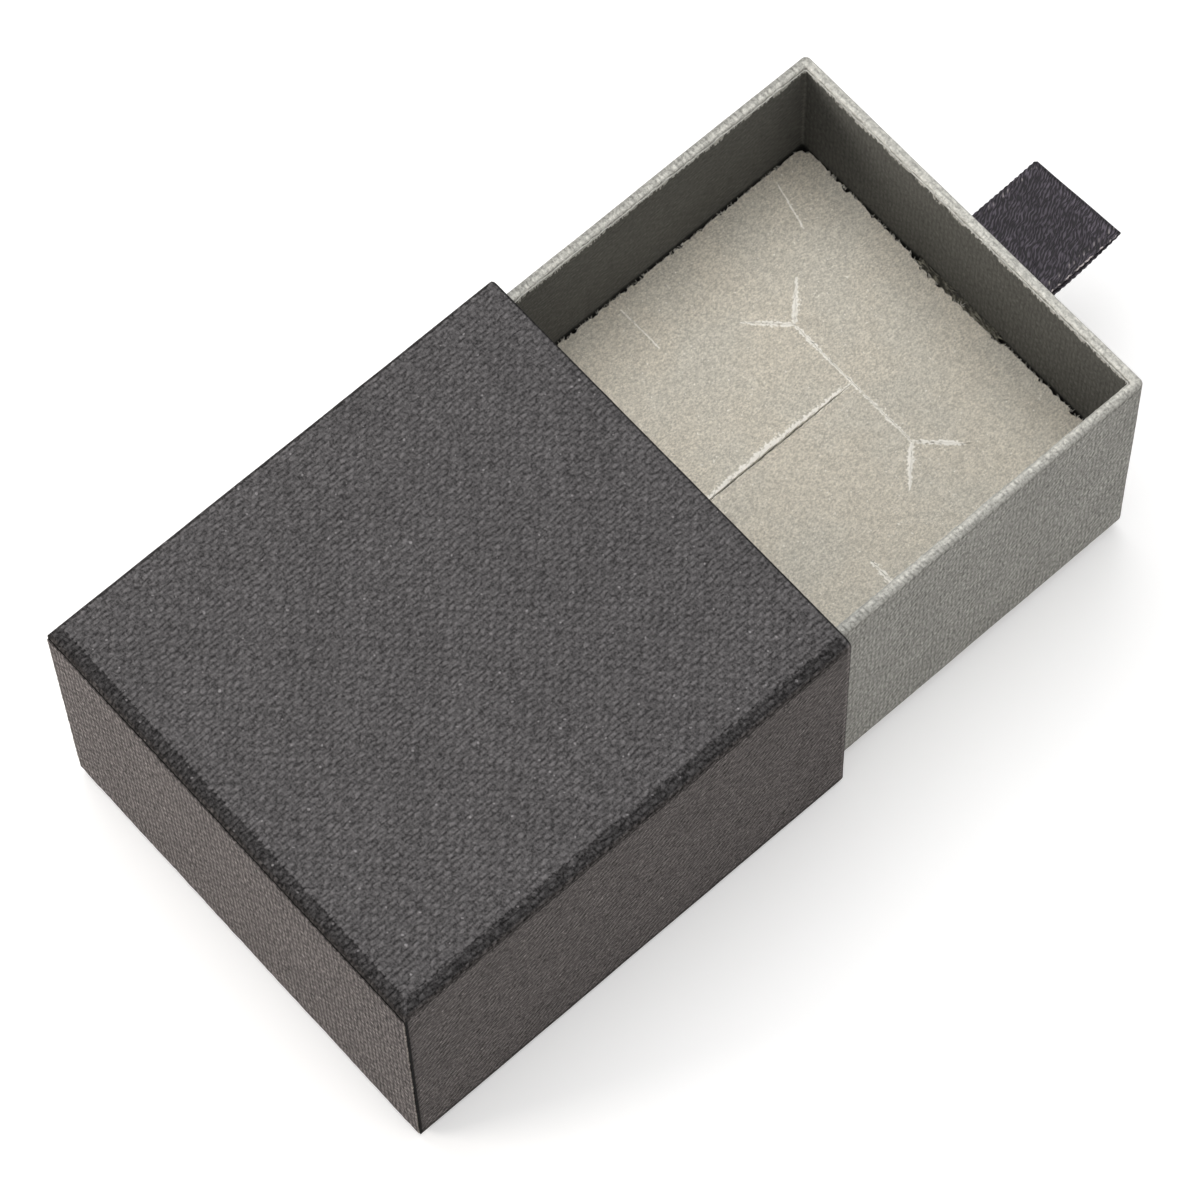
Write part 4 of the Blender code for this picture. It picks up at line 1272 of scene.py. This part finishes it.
def list_ribbon_rows():
    """Distances along the strip at which it can bend: close together where it turns."""
    rows = [0.0]
    for length, turn in ribbon_bends:
        steps = BEND_ROWS if turn else round(length / RIBBON_CELL)
        start = rows[-1]
        rows += [start + length * step / steps for step in range(1, steps + 1)]
    return rows


def bend_ribbon(bm):
    """Bend the flat strip along its walk, with the small slips of a hand-folded ribbon."""
    half = RIBBON_WIDTH / 2
    for vert in bm.verts:
        across, distance = vert.co.x, vert.co.y
        y, z, heading = walk(distance)
        y -= math.sin(heading) * RIBBON_THICKNESS / 2
        z += math.cos(heading) * RIBBON_THICKNESS / 2
        outside = max(0.0, min(1.0, (drawer_low.y - y) / RIBBON_REACH))
        gaps = 1 - abs(math.sin(math.pi * distance / SCALLOP))
        edge = max(0.0, abs(across) / half - 1 + SELVEDGE) / SELVEDGE
        x = across - math.copysign(SCALLOP_DEPTH * gaps * edge, across)
        x += ROOT_SHIFT + (TIP_SHIFT - ROOT_SHIFT) * outside
        if distance < ribbon_length / 2:
            x -= LOWER_PEEK * math.sin(math.pi * outside)
            z -= LAYER_SAG * math.sin(math.pi * outside)
        corner = max(0.0, (across - half + TIP_ROUNDING) / TIP_ROUNDING)
        y += outside * TIP_SKEW * (across + half) / RIBBON_WIDTH
        y += outside ** 6 * TIP_ROUNDING * corner ** 2
        z += ripple(Vector((x, y, 0)), *RIBBON_WAVES) * outside
        z += TIP_RISE * outside ** 2
        vert.co = Vector((x, y, z))


# %% Pull ribbon
rows = list_ribbon_rows()
last = len(rows) - 1
bm = bmesh.new()
bmesh.ops.create_grid(bm, x_segments=round(RIBBON_WIDTH / RIBBON_CELL), y_segments=last,
                      size=0.5)
for vert in bm.verts:
    vert.co = Vector((vert.co.x * RIBBON_WIDTH, rows[round((vert.co.y + 0.5) * last)], 0))
flat_map = bm.loops.layers.uv.new("flat")
for face in bm.faces:
    for loop in face.loops:
        loop[flat_map].uv = (loop.vert.co.x / MM, loop.vert.co.y / MM)
bend_ribbon(bm)
bmesh.ops.solidify(bm, geom=bm.faces[:], thickness=RIBBON_THICKNESS)
ribbon = add_piece("pull_ribbon_strip", bm, "drawer", "satin", satin, "pull_ribbon")

# %% [markdown]
# Inside, the ribbon's turned-down ends are pressed between the front wall and the insert, and
# some threads of their weave have worked loose there. They lie across the ribbon, a little
# crooked, in the colour that the satin has in that dark gap.

# %% Loose ribbon threads
THREADS = 150
THREAD_RADIUS = 0.055 * MM
THREAD_LENGTHS = (0.5, 1.6)  # mm

bm = bmesh.new()
rng = random.Random(5)
half = RIBBON_WIDTH / 2
bend_z = SLOT_Z + LAYER_PITCH / 2 - OUTER_BEND
for _ in range(THREADS):
    angle = math.radians(rng.uniform(5, 85))
    out = OUTER_BEND + RIBBON_THICKNESS / 2 + rng.uniform(0, 0.05) * MM
    base = Vector((rng.uniform(-half, half) + ROOT_SHIFT, BEND_Y + math.cos(angle) * out,
                   bend_z + math.sin(angle) * out))
    slope = rng.uniform(-0.4, 0.4)
    way = Vector((rng.choice((-1, 1)), -math.sin(angle) * slope, math.cos(angle) * slope))
    add_fibre(bm, base, way, rng.uniform(*THREAD_LENGTHS) * MM, THREAD_RADIUS)
add_piece("ribbon_loose_threads", bm, "drawer", "satin",
          loose_material("loose ribbon threads", 0.6, 0.0, TUCKED_THREAD, 1.5, 0.8, 5.0))

# %% [markdown]
# ## The other pieces
# The boards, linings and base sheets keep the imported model's shape, because that is right as it
# is. They only get their finish, by the material slot that the record names for each.

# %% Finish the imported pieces
finishes = {
    "charcoal_linen": charcoal, "grey_linen": grey, "dark_liner": liner, "black_paper": black,
    "greyboard": board, "pale_velour": velour, "pale_foam": foam, "satin": satin,
}
slots = {row["node"]: row["material_slot"] for row in frame["record"]["subparts"]}
for name, node in frame["nodes"].items():
    node.data.materials.clear()
    node.data.materials.append(finishes[slots[name]])
print("packed pieces with a finish:", len(slots))

# %% [markdown]
# ## Studio
# The box lies on a white table under a large soft lamp, with the room's white walls all round.
# The table adds a little light of its own, but only to what the camera sees, so that it looks
# white and still holds the box's shadow.

# %% Table
TABLE_SIZE = 6.0
TABLE_DROP = 0.02 * MM


def white_for_the_camera(tree, plain, bright):
    """A strength that is plain for the lamps' light and bright where the camera looks."""
    path = add_node(tree, "LightPath").socket.node.outputs
    seen = larger(Varying(path["Is Camera Ray"]), Varying(path["Is Glossy Ray"]))
    return larger(seen, Varying(path["Is Transmission Ray"])).between(plain, bright)


bm = bmesh.new()
bmesh.ops.create_grid(bm, x_segments=1, y_segments=1, size=TABLE_SIZE / 2)
bmesh.ops.translate(bm, vec=Vector((0, 0, -TABLE_DROP)), verts=bm.verts)
mesh = bpy.data.meshes.new("table")
bm.to_mesh(mesh)
bm.free()
material, tree, shader = new_material("white table", 0.9, 0.1)
plug_all(shader.inputs, {"Base Color": (0.8, 0.8, 0.8), "Emission Color": (1.0, 1.0, 1.0),
                         "Emission Strength": white_for_the_camera(tree, 0.0, 0.36)})
mesh.materials.append(material)
add_object("table", mesh)

# %% Lamps and walls


def add_lamp(name, azimuth, elevation, distance, size, power, colour=(1, 1, 1)):
    """A square soft lamp that looks at the box."""
    lamp = add_object(name, bpy.data.lights.new(name, "AREA"))
    lamp.data.shape = "SQUARE"
    lamp.data.size = size
    lamp.data.energy = power
    lamp.data.color = colour
    aim(lamp, azimuth, elevation, distance)
    print(f"{name}: {power} W")


add_lamp("overhead lamp", 70, 77, 1.0, 0.8, 7.0)
add_lamp("end lamp", 150, 14, 0.5, 0.2, 1.95, (1.0, 0.95, 0.90))
add_lamp("side lamp", 280, 25, 0.8, 0.5, 1.65, (1.0, 0.96, 0.92))

world = bpy.data.worlds.new("white walls")
bpy.context.scene.world = world
world.use_nodes = True
plug_all(world.node_tree.nodes["Background"].inputs,
         {"Color": (1.0, 1.0, 1.0), "Strength": white_for_the_camera(world.node_tree, 0.33, 1.0)})
